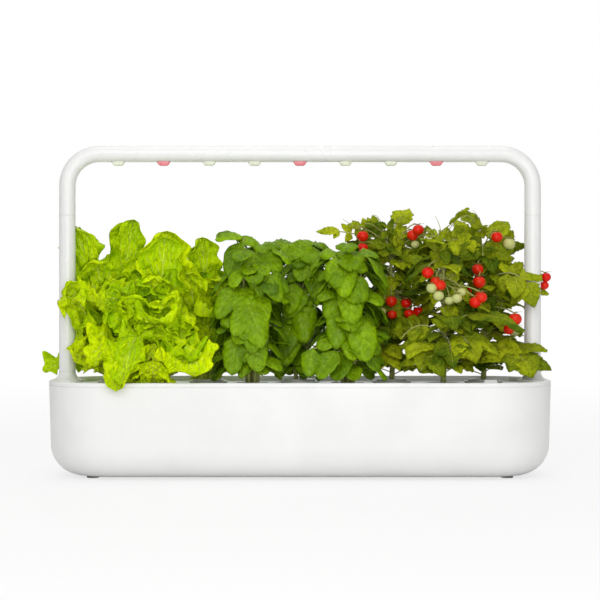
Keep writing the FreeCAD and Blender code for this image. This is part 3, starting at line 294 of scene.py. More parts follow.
class Tree:
    """Shorthand for adding and linking nodes in one node tree."""

    def __init__(self, tree):
        self.tree = tree

    def put(self, kind, **settings):
        node = self.tree.nodes.new("ShaderNode" + kind)
        for key, value in settings.items():
            setattr(node, key, value)
        return node

    def link(self, source, target):
        self.tree.links.new(source, target)
        return target

    def where(self):
        """Object coordinates."""
        return self.put("TexCoord").outputs["Object"]

    def feed(self, socket, value):
        if isinstance(value, bpy.types.NodeSocket):
            self.link(value, socket)
        else:
            socket.default_value = value

    def math(self, operation, first, second=0.0, third=None, clamp=False):
        node = self.put("Math", operation=operation, use_clamp=clamp)
        self.feed(node.inputs[0], first)
        self.feed(node.inputs[1], second)
        if third is not None:
            self.feed(node.inputs[2], third)
        return node.outputs[0]

    def ramp(self, value, low, high, out_low=0.0, out_high=1.0):
        node = self.put("MapRange", interpolation_type="SMOOTHSTEP")
        self.feed(node.inputs["Value"], value)
        limits = {"From Min": low, "From Max": high, "To Min": out_low, "To Max": out_high}
        for name, number in limits.items():
            self.feed(node.inputs[name], number)
        return node.outputs["Result"]

    def mix(self, factor, first, second):
        node = self.put("Mix", data_type="RGBA", clamp_factor=True)
        self.feed(node.inputs["Factor"], factor)
        self.feed(node.inputs[MIX_FIRST], first)
        self.feed(node.inputs[MIX_SECOND], second)
        return node.outputs[MIX_RESULT]

    def noise(self, vector, scale, detail=3.0, roughness=0.5):
        node = self.put("TexNoise")
        self.feed(node.inputs["Vector"], vector)
        self.feed(node.inputs["Scale"], scale)
        self.feed(node.inputs["Detail"], detail)
        self.feed(node.inputs["Roughness"], roughness)
        return node.outputs["Fac"]

    def group(self, tree, **values):
        node = self.put("Group")
        node.node_tree = tree
        for key, value in values.items():
            self.feed(node.inputs[key.replace("_", " ").capitalize()], value)
        return node


def rgba(value):
    return (value[0], value[1], value[2], 1.0)


def new_group(name, inputs, outputs):
    """A shader node group with float inputs (name, default) and float outputs."""
    if name in bpy.data.node_groups:
        return bpy.data.node_groups[name], None
    tree = bpy.data.node_groups.new(name, "ShaderNodeTree")
    for label, value in inputs:
        socket = tree.interface.new_socket(name=label, in_out="INPUT", socket_type="NodeSocketFloat")
        socket.default_value = value
    for label in outputs:
        tree.interface.new_socket(name=label, in_out="OUTPUT", socket_type="NodeSocketFloat")
    return tree, Tree(tree)


def grain_group():
    """Fine moulded grain and soft cloudiness, from Object coordinates."""
    tree, work = new_group("moulded grain", [("Size", 900.0), ("Clouds", 14.0)], ["Grain", "Cloud"])
    if work:
        source, target = tree.nodes.new("NodeGroupInput"), tree.nodes.new("NodeGroupOutput")
        where = work.where()
        work.link(work.noise(where, source.outputs["Size"], 2.0), target.inputs["Grain"])
        work.link(work.noise(where, source.outputs["Clouds"], 4.0), target.inputs["Cloud"])
    return tree


def vein_group():
    """Midrib and raked side veins of a leaf, from its UV map: the side veins are lines of
    constant (u - rake |v|) times their number, and the midrib is the line v = 0."""
    tree, work = new_group(
        "leaf veins", [("Number", 8.0), ("Rake", 0.35), ("Line", 0.12), ("Rib", 0.05)],
        ["Vein", "Midrib", "Along"])
    if work:
        source, target = tree.nodes.new("NodeGroupInput"), tree.nodes.new("NodeGroupOutput")
        part = work.put("SeparateXYZ")
        work.link(work.put("UVMap", uv_map="UVMap").outputs["UV"], part.inputs[0])
        along, across = part.outputs["X"], part.outputs["Y"]
        side = work.math("ABSOLUTE", work.math("MULTIPLY_ADD", across, 2.0, -1.0))
        wander = work.noise(work.where(), 60.0, 2.0)
        bent = work.math("ADD", along, work.math("MULTIPLY", work.math("SUBTRACT", wander, 0.5), 0.12))
        line = work.math("MULTIPLY", work.math(
            "SUBTRACT", bent, work.math("MULTIPLY", side, source.outputs["Rake"])), source.outputs["Number"])
        gap = work.math("ABSOLUTE", work.math("SUBTRACT", work.math("FRACT", line), 0.5))
        vein = work.math("SUBTRACT", 1.0, work.ramp(gap, 0.0, source.outputs["Line"]))
        faded = work.math("MULTIPLY", vein, work.math("SUBTRACT", 1.0, side), clamp=True)
        work.link(faded, target.inputs["Vein"])
        taper = work.math("MULTIPLY", source.outputs["Rib"], work.math("SUBTRACT", 1.25, along))
        work.link(work.math("SUBTRACT", 1.0, work.ramp(side, 0.0, taper)), target.inputs["Midrib"])
        work.link(along, target.inputs["Along"])
    return tree


def new_material(name, **sockets):
    """A Principled material with constants set on the shader's own sockets."""
    material = bpy.data.materials.new(name)
    material.use_nodes = True
    work = Tree(material.node_tree)
    shader = next(n for n in material.node_tree.nodes if n.type == "BSDF_PRINCIPLED")
    for key, value in sockets.items():
        shader.inputs[key.replace("_", " ")].default_value = value
    return material, work, shader


def dress(work, shader, base, roughness, height, depth):
    """Links a colour, a roughness and, through a Bump node, a relief of some depth to the shader."""
    work.link(base, shader.inputs["Base Color"])
    work.link(roughness, shader.inputs["Roughness"])
    node = work.put("Bump")
    node.inputs["Distance"].default_value = depth
    work.link(height, node.inputs["Height"])
    work.link(node.outputs["Normal"], shader.inputs["Normal"])


def own_tone(work):
    """The tone that each leaf or fruit was given."""
    return work.put("Attribute", attribute_name="tone", attribute_type="GEOMETRY").outputs["Fac"]


def moulded(name, tint, roughness, depth=0.00002, **sockets):
    """Moulded plastic: fine grain in the surface, faint clouds in the colour and the gloss."""
    material, work, shader = new_material(name, **sockets)
    grain = work.group(grain_group())
    cloud = grain.outputs["Cloud"]
    base = work.mix(work.ramp(cloud, 0.35, 0.7), rgba(tint), rgba([c * 0.955 for c in tint]))
    gloss = work.ramp(cloud, 0.3, 0.75, roughness - 0.03, roughness + 0.05)
    dress(work, shader, base, gloss, grain.outputs["Grain"], depth)
    return material


def leaf_material(name, young, old, rib, veins, rake, line, pale, rough, relief, cell, painted_hollow_shade, **sockets):
    """A leaf: colour from its tone and clouds, painted shade in the hollows of its blisters, paler veins,
    midrib and foot, relief between veins.
    """
    material, work, shader = new_material(name, **sockets)
    pattern = work.group(vein_group(), number=veins, rake=rake, line=line)
    where, tone = work.where(), own_tone(work)
    cloud = work.noise(where, 38.0, 4.0)
    blister = work.noise(where, cell, 3.0, 0.45)
    drift = work.math("MULTIPLY", work.math("SUBTRACT", cloud, 0.5), 1.3)
    base = work.mix(work.math("ADD", tone, drift, clamp=True), rgba(young), rgba(old))
    # painted shade: the low parts of the blister relief are darkened towards a dark copy of the old colour
    base = work.mix(work.ramp(blister, 0.36, 0.58, painted_hollow_shade, 0.0), base, rgba([c * 0.45 for c in old]))
    base = work.mix(work.ramp(pattern.outputs["Along"], 0.0, 0.42, pale, 0.0), base, rgba(rib))
    for part, share in (("Vein", 0.42), ("Midrib", 0.75)):
        base = work.mix(work.math("MULTIPLY", pattern.outputs[part], share), base, rgba(rib))
    height = work.math("SUBTRACT", blister, work.math("MULTIPLY", pattern.outputs["Vein"], 0.35))
    dress(work, shader, base, work.ramp(blister, 0.3, 0.7, rough + 0.1, rough - 0.05), height, relief)
    return material


def soil_material(tint):
    """Damp soil: dark crumbs, and a pale fibre in the middle of each."""
    material, work, shader = new_material("damp soil", Specular_IOR_Level=0.25)
    where = work.where()
    crumb = work.put("TexVoronoi", feature="F1")
    work.feed(crumb.inputs["Vector"], where)
    crumb.inputs["Scale"].default_value = 520.0
    cloud = work.noise(where, 160.0, 5.0, 0.65)
    wet, dry, fibre = [c * 0.45 for c in tint], [c * 2.1 for c in tint], (0.32, 0.24, 0.14)
    base = work.mix(work.ramp(cloud, 0.35, 0.72), rgba(wet), rgba(dry))
    base = work.mix(work.ramp(crumb.outputs["Distance"], 0.0, 0.22, 0.25, 0.0), base, rgba(fibre))
    dress(work, shader, base, work.ramp(cloud, 0.3, 0.8, 0.75, 0.98), cloud, 0.0012)
    return material


def fruit_material(name, tint, shade, glow):
    """Tomato skin: glossy, clouded, with a glow round the stalk and tiny pores."""
    material, work, shader = new_material(
        name, Coat_Weight=0.22, Coat_Roughness=0.05, Specular_IOR_Level=0.12)
    where, tone = work.where(), own_tone(work)
    cloud = work.noise(where, 90.0, 3.0)
    ripeness = work.math("ADD", tone, work.math("SUBTRACT", cloud, 0.62), clamp=True)
    run = work.put("SeparateXYZ")
    work.link(work.put("UVMap", uv_map="UVMap").outputs["UV"], run.inputs[0])
    base = work.mix(ripeness, rgba(tint), rgba(shade))
    base = work.mix(work.ramp(run.outputs["X"], 0.0, 0.22, 0.55, 0.0), base, rgba(glow))
    dress(work, shader, base, work.ramp(cloud, 0.3, 0.7, 0.22, 0.34), work.noise(where, 1400.0, 2.0), 0.00002)
    return material


def lens_material(name, tint):
    """A milky lens with fine flutes across its length, the crest of each flute painted paler as a painted
    highlight.
    """
    material, work, shader = new_material(
        name, Coat_Weight=0.6, Coat_Roughness=0.1, Subsurface_Weight=0.2, Subsurface_Scale=0.002)
    where = work.put("SeparateXYZ")
    work.link(work.where(), where.inputs[0])
    flute = work.math("SINE", work.math("MULTIPLY", where.outputs["X"], 2 * math.pi / 0.0016))
    # painted highlight: the colour runs from the tint in each flute's trough to a paler copy on its crest
    pale = [min(1.0, c * 1.25 + 0.05) for c in tint]
    base = work.mix(work.ramp(flute, -1.0, 1.0), rgba(tint), rgba(pale))
    dress(work, shader, base, work.ramp(flute, -1.0, 1.0, 0.22, 0.4), flute, 0.00012)
    return material


def board_material():
    """A lacquered circuit board: tracks between rows of pads."""
    material, work, shader = new_material("board lacquer", Coat_Weight=0.4, Coat_Roughness=0.2)
    where = work.where()
    track = work.put("TexBrick")
    work.feed(track.inputs["Vector"], where)
    track.inputs["Scale"].default_value = 220.0
    base = work.mix(track.outputs["Fac"], rgba((0.015, 0.13, 0.05)), rgba((0.05, 0.28, 0.09)))
    dress(work, shader, base, work.ramp(work.noise(where, 300.0), 0.3, 0.7, 0.35, 0.5),
          track.outputs["Fac"], 0.00004)
    return material


def screw_material():
    """Bright steel with fine brushing."""
    material, work, shader = new_material("screw steel", Metallic=1.0)
    line = work.noise(work.where(), 2600.0, 2.0)
    base = work.mix(work.ramp(line, 0.3, 0.7), rgba((0.46, 0.46, 0.47)), rgba((0.62, 0.62, 0.63)))
    dress(work, shader, base, work.ramp(line, 0.3, 0.7, 0.25, 0.42), line, 0.00002)
    return material


FINISHES = {}


def finish(name):
    """The named material, made once from the settings."""
    if name in FINISHES:
        return FINISHES[name]
    scene = bpy.context.scene
    shell, plants, soil = scene.garden_shell, scene.garden_plants, scene.garden_soil
    makers = {
        "shell": lambda: moulded("satin white shell", shell.shell, shell.gloss, Coat_Weight=0.15,
                                 Coat_Roughness=0.2),
        "tube": lambda: moulded("satin white tube", shell.tube, shell.gloss - 0.04, 0.00001, Coat_Weight=0.2,
                                Coat_Roughness=0.15),
        "cup": lambda: moulded("white cup", (0.86, 0.86, 0.84), 0.42),
        "black": lambda: moulded("black moulding", (0.02, 0.02, 0.021), 0.45, 0.00005),
        "foot": lambda: moulded("grey rubber", (0.30, 0.30, 0.30), 0.75, 0.00008),
        "float": lambda: moulded("orange float", (0.78, 0.17, 0.03), 0.5, 0.00005),
        "pale": lambda: lens_material("pale lens", shell.pale_lens),
        "red": lambda: lens_material("red lens", shell.red_lens),
        "board": board_material,
        "steel": screw_material,
        "soil": lambda: soil_material(soil.soil),
        # the last number before the sockets is how strongly painted shade darkens each kind's blister hollows
        "lettuce": lambda: leaf_material(
            "lettuce leaf", plants.lettuce, plants.lettuce_deep, (0.80, 0.88, 0.20), 7.0, 0.45, 0.16, 0.6,
            0.46, 0.0026, 210.0, 0.34, Specular_IOR_Level=0.05),
        "basil": lambda: leaf_material(
            "basil leaf", plants.basil, plants.basil_deep, (0.38, 0.54, 0.03), 6.0, 0.30, 0.10, 0.2,
            0.32, 0.0016, 170.0, 0.30, Specular_IOR_Level=0.16),
        "tomato": lambda: leaf_material(
            "tomato leaf", plants.tomato, plants.tomato_deep, (0.50, 0.55, 0.06), 6.0, 0.42, 0.12, 0.15,
            0.5, 0.0016, 240.0, 0.34, Specular_IOR_Level=0.05),
        "stem": lambda: leaf_material(
            "green stem", plants.stem, [c * 0.6 for c in plants.stem], (0.45, 0.5, 0.16), 3.0, 0.0, 0.02, 0.3,
            0.5, 0.0002, 700.0, 0.2, Specular_IOR_Level=0.2),
        "ripe": lambda: fruit_material(
            "ripe skin", plants.ripe, (0.80, 0.05, 0.004), (0.80, 0.09, 0.01)),
        "unripe": lambda: fruit_material(
            "unripe skin", plants.unripe, (0.62, 0.60, 0.20), (0.30, 0.42, 0.10)),
    }
    FINISHES[name] = makers[name]()
    return FINISHES[name]


# ---------------------------------------------------------------- leaves

def blades(rows, cols, foot, middle, tip, width, face, shape, relief, tones):
    """Leaves as sheets over (u, v), u from foot to tip and v from -1 to 1 across.

    The centre line is the curve of foot, middle and tip. Across it stands the side vector A, which
    turns with the line and is rolled about it until the leaf's middle looks towards face. A point is
    line(u) + A v h(u) width / 2 + N lift(u, v), where N is A x tangent, h is the outline that shape
    gives for each (u, v), and relief gives (lift, sideways shift) as parts of the half width."""
    foot, middle, tip, face = (np.asarray(p, float) for p in (foot, middle, tip, face))
    count = len(foot)
    u = np.linspace(0, 1, rows)
    v = np.linspace(-1, 1, cols)
    line, along = bezier(foot, middle, tip, u)
    square = unit(np.cross(middle - foot, tip - middle) + 1e-4)[:, None]
    other = unit(np.cross(square, along))
    mid = rows // 2
    roll = np.arctan2(-np.sum(face[:, None] * square, -1), np.sum(face[:, None] * other[:, mid:mid + 1], -1))
    roll = roll[..., None]
    side = np.cos(roll) * square + np.sin(roll) * other
    normal = np.cross(side, along)
    half = np.asarray(width, float)[:, None, None] / 2
    number = np.arange(count)[:, None, None]
    uu, vv = u[None, :, None], v[None, None, :]
    spread = shape(uu, vv, number)
    lift, shift = relief(uu, vv, number)
    points = (line[:, :, None] + side[:, :, None] * ((vv * spread + shift) * half)[..., None]
              + normal[:, :, None] * (lift * half)[..., None])
    uv = np.broadcast_to(np.stack(np.broadcast_arrays(uu[0], (vv[0] + 1) / 2), -1), (count, rows, cols, 2))
    tone = np.broadcast_to(np.asarray(tones, float)[:, None, None], (count, rows, cols))
    return clear_of_hardware(points), quads(rows, cols, count), uv, tone


def clear_of_hardware(points):
    """Leaf points moved out of the legs, square to their axes, and up off the fill cap's way."""
    for leg in ("left_leg", "right_leg"):
        low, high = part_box(leg)
        x, y = (low[0] + high[0]) / 2 / MM, (low[1] + high[1]) / 2 / MM
        away = np.hypot(points[..., 0] - x, points[..., 1] - y)
        out = np.where(away < LEG_CLEAR, LEG_CLEAR / np.maximum(away, 0.1), 1.0)
        points[..., 0] = x + (points[..., 0] - x) * out
        points[..., 1] = y + (points[..., 1] - y) * out
    low, high = (np.array(corner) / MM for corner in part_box("fill_cap"))
    over = (np.all((points[..., :2] > low[:2] - 2) & (points[..., :2] < high[:2] + 2), axis=-1)
            & (points[..., 2] < high[2] + CAP_CLEAR))
    points[..., 2] = np.where(over, high[2] + CAP_CLEAR, points[..., 2])
    return points


def thicken(piece, by):
    """Gives a sheet its thickness with a Solidify modifier."""
    layer = piece.modifiers.new("thickness", "SOLIDIFY")
    layer.thickness = by
    layer.offset = 0


def facing(azimuth, height):
    """The direction that a leaf looks in; azimuth 0 is towards the front, 90 to the right."""
    a, h = np.radians(azimuth), np.radians(height)
    return np.stack([np.sin(a) * np.cos(h), -np.cos(a) * np.cos(h), np.sin(h)], -1)


# Lettuce leaves that the photograph shows, for each pod: where the tip is (x, y, z), width, how far
# the bend lies towards the tip, height of the bend, where the leaf looks (turn, tilt), tone.
LETTUCE = {
    1: [(-277, 6, 303, 44, 0.35, 235, -20, 20, 0.45), (-205, 26, 312, 40, 0.15, 250, 8, 5, 0.55),
        (-285, -40, 222, 46, 0.7, 236, 0, 12, 0.15), (-250, -8, 262, 50, 0.5, 230, -15, 25, 0.35),
        (-270, -40, 138, 40, 0.8, 158, -10, 25, 0.0), (-268, -22, 176, 50, 0.7, 206, -10, 20, 0.6),
        (-242, 70, 270, 50, 0.3, 235, 170, 20, 0.4), (-190, 74, 225, 52, 0.6, 215, 150, 30, 0.35),
        (-315, 25, 122, 32, 0.6, 156, -40, 40, 0.5), (-216, -22, 236, 50, 0.5, 225, 5, 30, 0.5)],
    2: [(-160, -30, 294, 62, 0.1, 230, 10, 10, 0.0), (-205, -62, 176, 56, 0.7, 240, -20, 30, 0.5),
        (-228, -70, 205, 52, 0.7, 245, -25, 30, 0.6), (-212, -96, 106, 50, 0.75, 205, -12, 35, 0.1),
        (-122, -86, 122, 66, 0.7, 178, 20, 45, 0.1), (-172, -86, 142, 44, 0.8, 116, 0, 25, 0.0),
        (-208, -70, 140, 40, 0.8, 118, -15, 25, 0.0), (-172, -72, 168, 50, 0.6, 190, 5, 40, 0.35),
        (-180, -56, 240, 54, 0.45, 235, -5, 25, 0.3), (-138, -64, 196, 56, 0.6, 230, 25, 30, 0.25),
        (-196, -20, 262, 50, 0.4, 225, -30, 20, 0.3), (-240, -72, 134, 50, 0.8, 190, -30, 45, 0.0)],
    3: [(-121, 20, 290, 40, 0.2, 240, 12, 8, 0.4), (-96, 10, 240, 52, 0.55, 225, 20, 25, 0.2),
        (-140, -2, 246, 50, 0.5, 215, -10, 30, 0.15), (-84, 30, 200, 56, 0.7, 215, 40, 35, 0.3),
        (-150, 76, 250, 50, 0.4, 230, 190, 20, 0.4), (-80, 72, 216, 54, 0.6, 215, 140, 25, 0.5),
        (-104, -20, 196, 54, 0.6, 215, 0, 35, 0.35)],
}


# Leaves that carry each plant's outline, from the pod's middle and the soil: tip (across, back, up),
# width, arch of the midrib, height where it starts.
LETTUCE_MAIN = {
    1: [(-50, 2, 188, 40, 14, 0), (14, 12, 196, 50, 8, 0), (32, 36, 140, 46, 16, 0),
        (-62, 26, 66, 46, 26, 0), (-18, -28, 132, 40, 12, 0), (2, 56, 84, 50, 24, 0)],
    2: [(10, -6, 174, 54, 8, 0), (-56, -22, 124, 44, 20, 0), (-98, -12, 96, 42, 34, 0),
        (-34, -64, 0, 44, 56, 0), (44, -46, 26, 56, 24, 0), (2, -56, 72, 50, 26, 0),
        (34, -4, 116, 44, 14, 0)],
    3: [(-14, 8, 168, 46, 8, 0), (28, 24, 132, 46, 14, 0), (-34, 32, 136, 42, 14, 0),
        (34, 44, 72, 50, 22, 0), (4, -10, 122, 40, 8, 0), (-2, 58, 66, 48, 22, 0)],
}
BASIL_MAIN = {
    4: [(-42, -14, 172, 28, 14, 150), (34, 0, 160, 28, 12, 148), (-40, 6, 118, 32, 14, 108),
        (36, -24, 110, 32, 14, 106), (-34, -36, 70, 34, 14, 66), (36, 4, 66, 32, 14, 64),
        (4, -54, 118, 30, 14, 120), (-10, -46, 28, 34, 14, 36)],
    5: [(-38, 6, 166, 32, 12, 152), (36, 16, 164, 32, 12, 150), (-34, 22, 112, 34, 14, 106),
        (40, 26, 108, 34, 14, 104), (0, 50, 134, 34, 14, 128), (-30, 42, 66, 34, 14, 62),
        (30, 46, 62, 34, 14, 60)],
    6: [(-34, -12, 150, 30, 12, 138), (36, -6, 148, 30, 12, 136), (4, -52, 136, 32, 14, 130),
        (-36, -26, 98, 32, 14, 94), (40, -22, 92, 34, 14, 92), (2, -56, 66, 34, 14, 66),
        (34, -36, 34, 34, 14, 44), (-34, -34, 40, 32, 14, 44)],
}
TOMATO_MAIN = {
    7: [(-42, 18, 192, 40, 14, 150), (24, 22, 212, 36, 8, 176), (38, 34, 150, 42, 14, 110),
        (-38, 36, 96, 46, 18, 60), (12, 62, 104, 44, 18, 80), (-22, -2, 52, 40, 16, 30)],
    8: [(-24, -42, 168, 36, 12, 140), (28, -24, 206, 36, 8, 172), (92, -34, 62, 40, 16, 70),
        (64, -18, 34, 42, 22, 30), (-46, -42, 30, 42, 20, 26), (8, -62, 66, 40, 16, 60)],
    9: [(-26, 10, 210, 38, 8, 172), (34, 22, 196, 38, 12, 150), (62, 30, 128, 42, 20, 100),
        (-30, 40, 108, 42, 18, 76), (52, 40, 52, 44, 20, 36), (6, 62, 84, 44, 18, 60)],
}


def main_leaves(number, rows, start=0.0):
    """Foot, bend, tip and width of a pod's main leaves, from a part of the way along their midribs:
    the curve's point there, and its bend moved on by the same part."""
    rows = np.array(rows, float)
    x, y = pod_place(number)
    ground = np.array([x, y, SOIL_TOP])
    foot = ground + np.stack([0 * rows[:, 5], 0 * rows[:, 5], np.maximum(rows[:, 5], 6)], -1)
    tip = ground + rows[:, :3]
    bend = (foot + tip) / 2 + rows[:, 4:5] * np.array([0, 0, 2.0])
    point, _ = bezier(foot, bend, tip, np.array([start]))
    return point[:, 0], (1 - start) * bend + start * tip, tip, rows[:, 3]


def lettuce_outline(u, v, number):
    """A sine's rise from a narrow foot to the widest place at 0.62, then an ellipse's round end,
    with a wavy margin."""
    widest = 0.62
    rise = 0.26 + 0.74 * np.sin(math.pi / 2 * np.clip(u / widest, 0, 1)) ** 1.3
    end = np.sqrt(np.clip(1 - (np.clip(u - widest, 0, 1) / (1 - widest)) ** 2.4, 0, 1))
    margin = 0.10 * np.sin(15 * u + number * 2.1 + 2 * np.sign(v)) + 0.06 * np.sin(37 * u + number)
    return rise * end * (1 + margin * np.clip(np.abs(v) * 2 - 1, 0, 1))


def lettuce_relief(u, v, number):
    """Cupped blade with a sunken rib; frills grow as the cube of the distance from the rib."""
    body = np.clip(lettuce_outline(u, 0 * v, number), 0, 1)
    edge = np.abs(v) ** 2.6 * body
    phase = number * 1.7 + np.where(v > 0, 0.0, 2.4)
    wave = np.sin(21 * u + phase + 1.3 * np.sin(7 * u + number))
    fine = 0.7 * np.sin(43 * u + 3 * np.abs(v) + phase * 1.3) + 0.3 * np.sin(79 * u + phase)
    blister = (ripple(u * 70, v * 28, 5) * 0.10 + ripple(u * 30 + number, v * 11, 8) * 0.12) * body
    lift = 0.30 * v ** 2 + edge * (0.48 * wave + 0.32 * fine) + blister * (1 - np.exp(-(v / 0.1) ** 2))
    lift = lift - 0.07 * np.exp(-(v / 0.09) ** 2) * (1 - u)
    shift = np.sign(v) * edge * (0.12 * np.cos(21 * u + phase) + 0.08 * np.cos(43 * u + phase))
    return lift, shift


def basil_outline(u, v, number):
    """A sine's rise to the widest place at 0.42, then an ellipse's blunt end, faintly wavy."""
    widest = 0.42
    rise = np.sin(math.pi / 2 * np.clip(u / widest, 0, 1)) ** 0.85
    end = np.sqrt(np.clip(1 - (np.clip(u - widest, 0, 1) / (1 - widest)) ** 2.1, 0, 1))
    return 0.03 + 0.97 * rise * end * (1 + 0.03 * np.sin(23 * u + number))


def basil_relief(u, v, number):
    """Quilted between raked side veins, folded along the rib, edges turned down."""
    vein = np.cos(2 * math.pi * 6 * (u - 0.30 * np.abs(v)) + 0.4 * np.sin(number))
    quilt = -0.15 * vein * np.abs(v) ** 0.6 * (1 - v ** 4) * np.sin(math.pi * u) ** 0.5
    lift = 0.22 * np.abs(v) - 0.60 * v ** 2 * (0.7 + 0.3 * np.sin(number * 2.3)) + quilt
    lift = lift + 0.05 * np.sin(9 * u + number) * v ** 3 + 0.03 * ripple(u * 14, v * 6 + number, 3)
    return lift, 0 * lift


def tomato_outline(u, v, number):
    """An egg shape with forward teeth, six to a side, deeper towards its middle."""
    base = np.sin(math.pi * np.clip(u, 0, 1) ** 0.72) ** 0.85
    tooth = (u * 6.0 + 0.15 * np.sin(number)) % 1.0
    notch = 1 - 0.26 * (1 - tooth) ** 1.4 * np.sin(math.pi * u)
    return 0.03 + 0.97 * base * (1 + (notch - 1) * np.abs(v) ** 2)


def tomato_relief(u, v, number):
    """Puckered between veins, folded up along the rib, margin rolled under and wavy."""
    vein = np.cos(2 * math.pi * 6 * (u - 0.4 * np.abs(v)))
    quilt = -0.06 * vein * np.abs(v) ** 0.7 * (1 - v ** 4)
    lift = 0.22 * np.abs(v) - 0.30 * v ** 2 + quilt + 0.10 * np.sin(8 * u + number * 1.9) * v ** 2
    return lift + 0.05 * ripple(u * 12, v * 5 + number, 4), 0 * lift


def rosette(number, draw, count, reach, rise, wide):
    """Filling leaves round a pod by the golden angle: inner ones stand, outer ones lean and are shorter."""
    x, y = pod_place(number)
    step = np.arange(count)
    turn = step * GOLDEN + draw.uniform(0, 6.28)
    lean = step / max(1, count - 1)
    out = reach * (0.35 + 0.65 * lean) * draw.uniform(0.85, 1.1, count)
    top = SOIL_TOP + rise * (1.0 - 0.62 * lean) * draw.uniform(0.85, 1.08, count)
    tip = np.stack([x + out * np.cos(turn), y + out * np.sin(turn), top], -1)
    face = facing(np.degrees(turn) + 90, np.full(count, 25.0))
    return tip, wide * draw.uniform(0.8, 1.1, count), face, draw.uniform(0.2, 0.8, count)


def within(tip, side=267.0, front=88.0):
    """Keeps filling leaves clear of the legs and over the tank."""
    tip[:, 0] = np.clip(tip[:, 0], -side, side)
    tip[:, 1] = np.clip(tip[:, 1], -front, front)
    return tip


def lettuce_plant(number):
    """One head: the two tables' leaves and a rosette of filling leaves, all from the crown."""
    x, y = pod_place(number)
    rows = np.array(LETTUCE[number], float)
    draw = np.random.default_rng(100 + number)
    tip, width, face, tone = rosette(number, draw, LETTUCE_FILL, reach=44, rise=140, wide=46)
    tip = within(tip)
    tips = np.concatenate([rows[:, :3], tip])
    crown = np.array([x, y, SOIL_TOP])
    away = unit((tips - crown) * np.array([1.0, 1.0, 0.0]) + 1e-6)
    foot = crown + away * 4.5 - UP * 1.5
    part = np.concatenate([rows[:, 4], np.full(len(tip), 0.4)])[:, None]
    bend = foot + (tips - foot) * part
    bend[:, 2] = np.concatenate([rows[:, 5], SOIL_TOP + (tip[:, 2] - SOIL_TOP) * 0.75])
    widths = np.concatenate([rows[:, 3], width])
    faces = np.concatenate([facing(rows[:, 6], rows[:, 7]), face])
    tones = np.concatenate([rows[:, 8], tone])
    feet, bends, ends, wide = main_leaves(number, LETTUCE_MAIN[number])
    up = np.broadcast_to(np.array([0.05, -0.2, 1.0]), feet.shape)
    return blades(
        54, 27, np.concatenate([foot, feet]), np.concatenate([bend, bends]), np.concatenate([tips, ends]),
        np.concatenate([widths, wide]), np.concatenate([faces, unit(up)]), lettuce_outline, lettuce_relief,
        np.concatenate([tones, draw.uniform(0.2, 0.7, len(feet))]))


# Basil leaves that the photograph shows: where the tip is (x, y, z), length of the blade, width, the
# way it points (turn from right towards up, in the picture), depth lean, where it looks, tone.
BASIL = {
    4: [(-100, -62, 283, 34, 20, 185, 10, 0, 60, 0.1), (-47, -48, 277, 30, 22, -15, 0, 0, 60, 0.4),
        (-84, -62, 238, 44, 28, 250, 10, -15, 15, 0.7), (-46, -66, 214, 60, 28, 283, 15, 5, 15, 0.3),
        (-98, -70, 190, 50, 30, 235, 20, -10, 30, 0.35), (-76, -88, 170, 38, 26, 245, 25, 0, 45, 0.25),
        (-44, -92, 156, 58, 36, 290, 20, 8, 20, 0.4), (-80, -80, 124, 48, 30, 262, 15, -10, 20, 0.5),
        (-48, -84, 128, 36, 28, 280, 20, 5, 30, 0.35), (-22, -70, 210, 40, 26, 300, 15, 15, 25, 0.45),
        (-22, -48, 246, 42, 28, -40, 0, 5, 40, 0.4)],
    5: [(2, 6, 284, 30, 34, 80, -10, 0, 45, 0.15), (-24, 2, 262, 34, 28, 205, 10, -20, 40, 0.4),
        (0, -2, 234, 30, 24, 262, 20, 0, 35, 0.2), (30, 0, 256, 40, 30, -25, 10, 20, 35, 0.4),
        (26, -6, 206, 52, 30, 285, 20, 10, 20, 0.45), (-18, -10, 190, 44, 28, 230, 20, -15, 30, 0.5),
        (8, -14, 160, 56, 34, 275, 20, 5, 20, 0.35), (-24, -10, 140, 44, 30, 250, 15, -10, 30, 0.6),
        (-38, 0, 246, 42, 30, 235, 10, -5, 30, 0.3)],
    6: [(54, -50, 260, 40, 26, 60, 0, 10, 35, 0.3), (80, -56, 246, 44, 30, -30, 10, 20, 30, 0.4),
        (52, -60, 226, 44, 28, 268, 20, 0, 20, 0.35), (42, -76, 154, 52, 30, 262, 20, 0, 20, 0.4),
        (78, -84, 140, 56, 38, 280, 25, 10, 30, 0.25), (22, -84, 120, 40, 28, 235, 20, -15, 35, 0.6),
        (10, -82, 122, 36, 26, 260, 20, 0, 35, 0.5), (64, -58, 190, 50, 28, 285, 15, 10, 20, 0.45),
        (92, -60, 128, 34, 24, 300, 15, 20, 30, 0.6), (30, -62, 190, 46, 28, 240, 20, -10, 25, 0.5)],
}


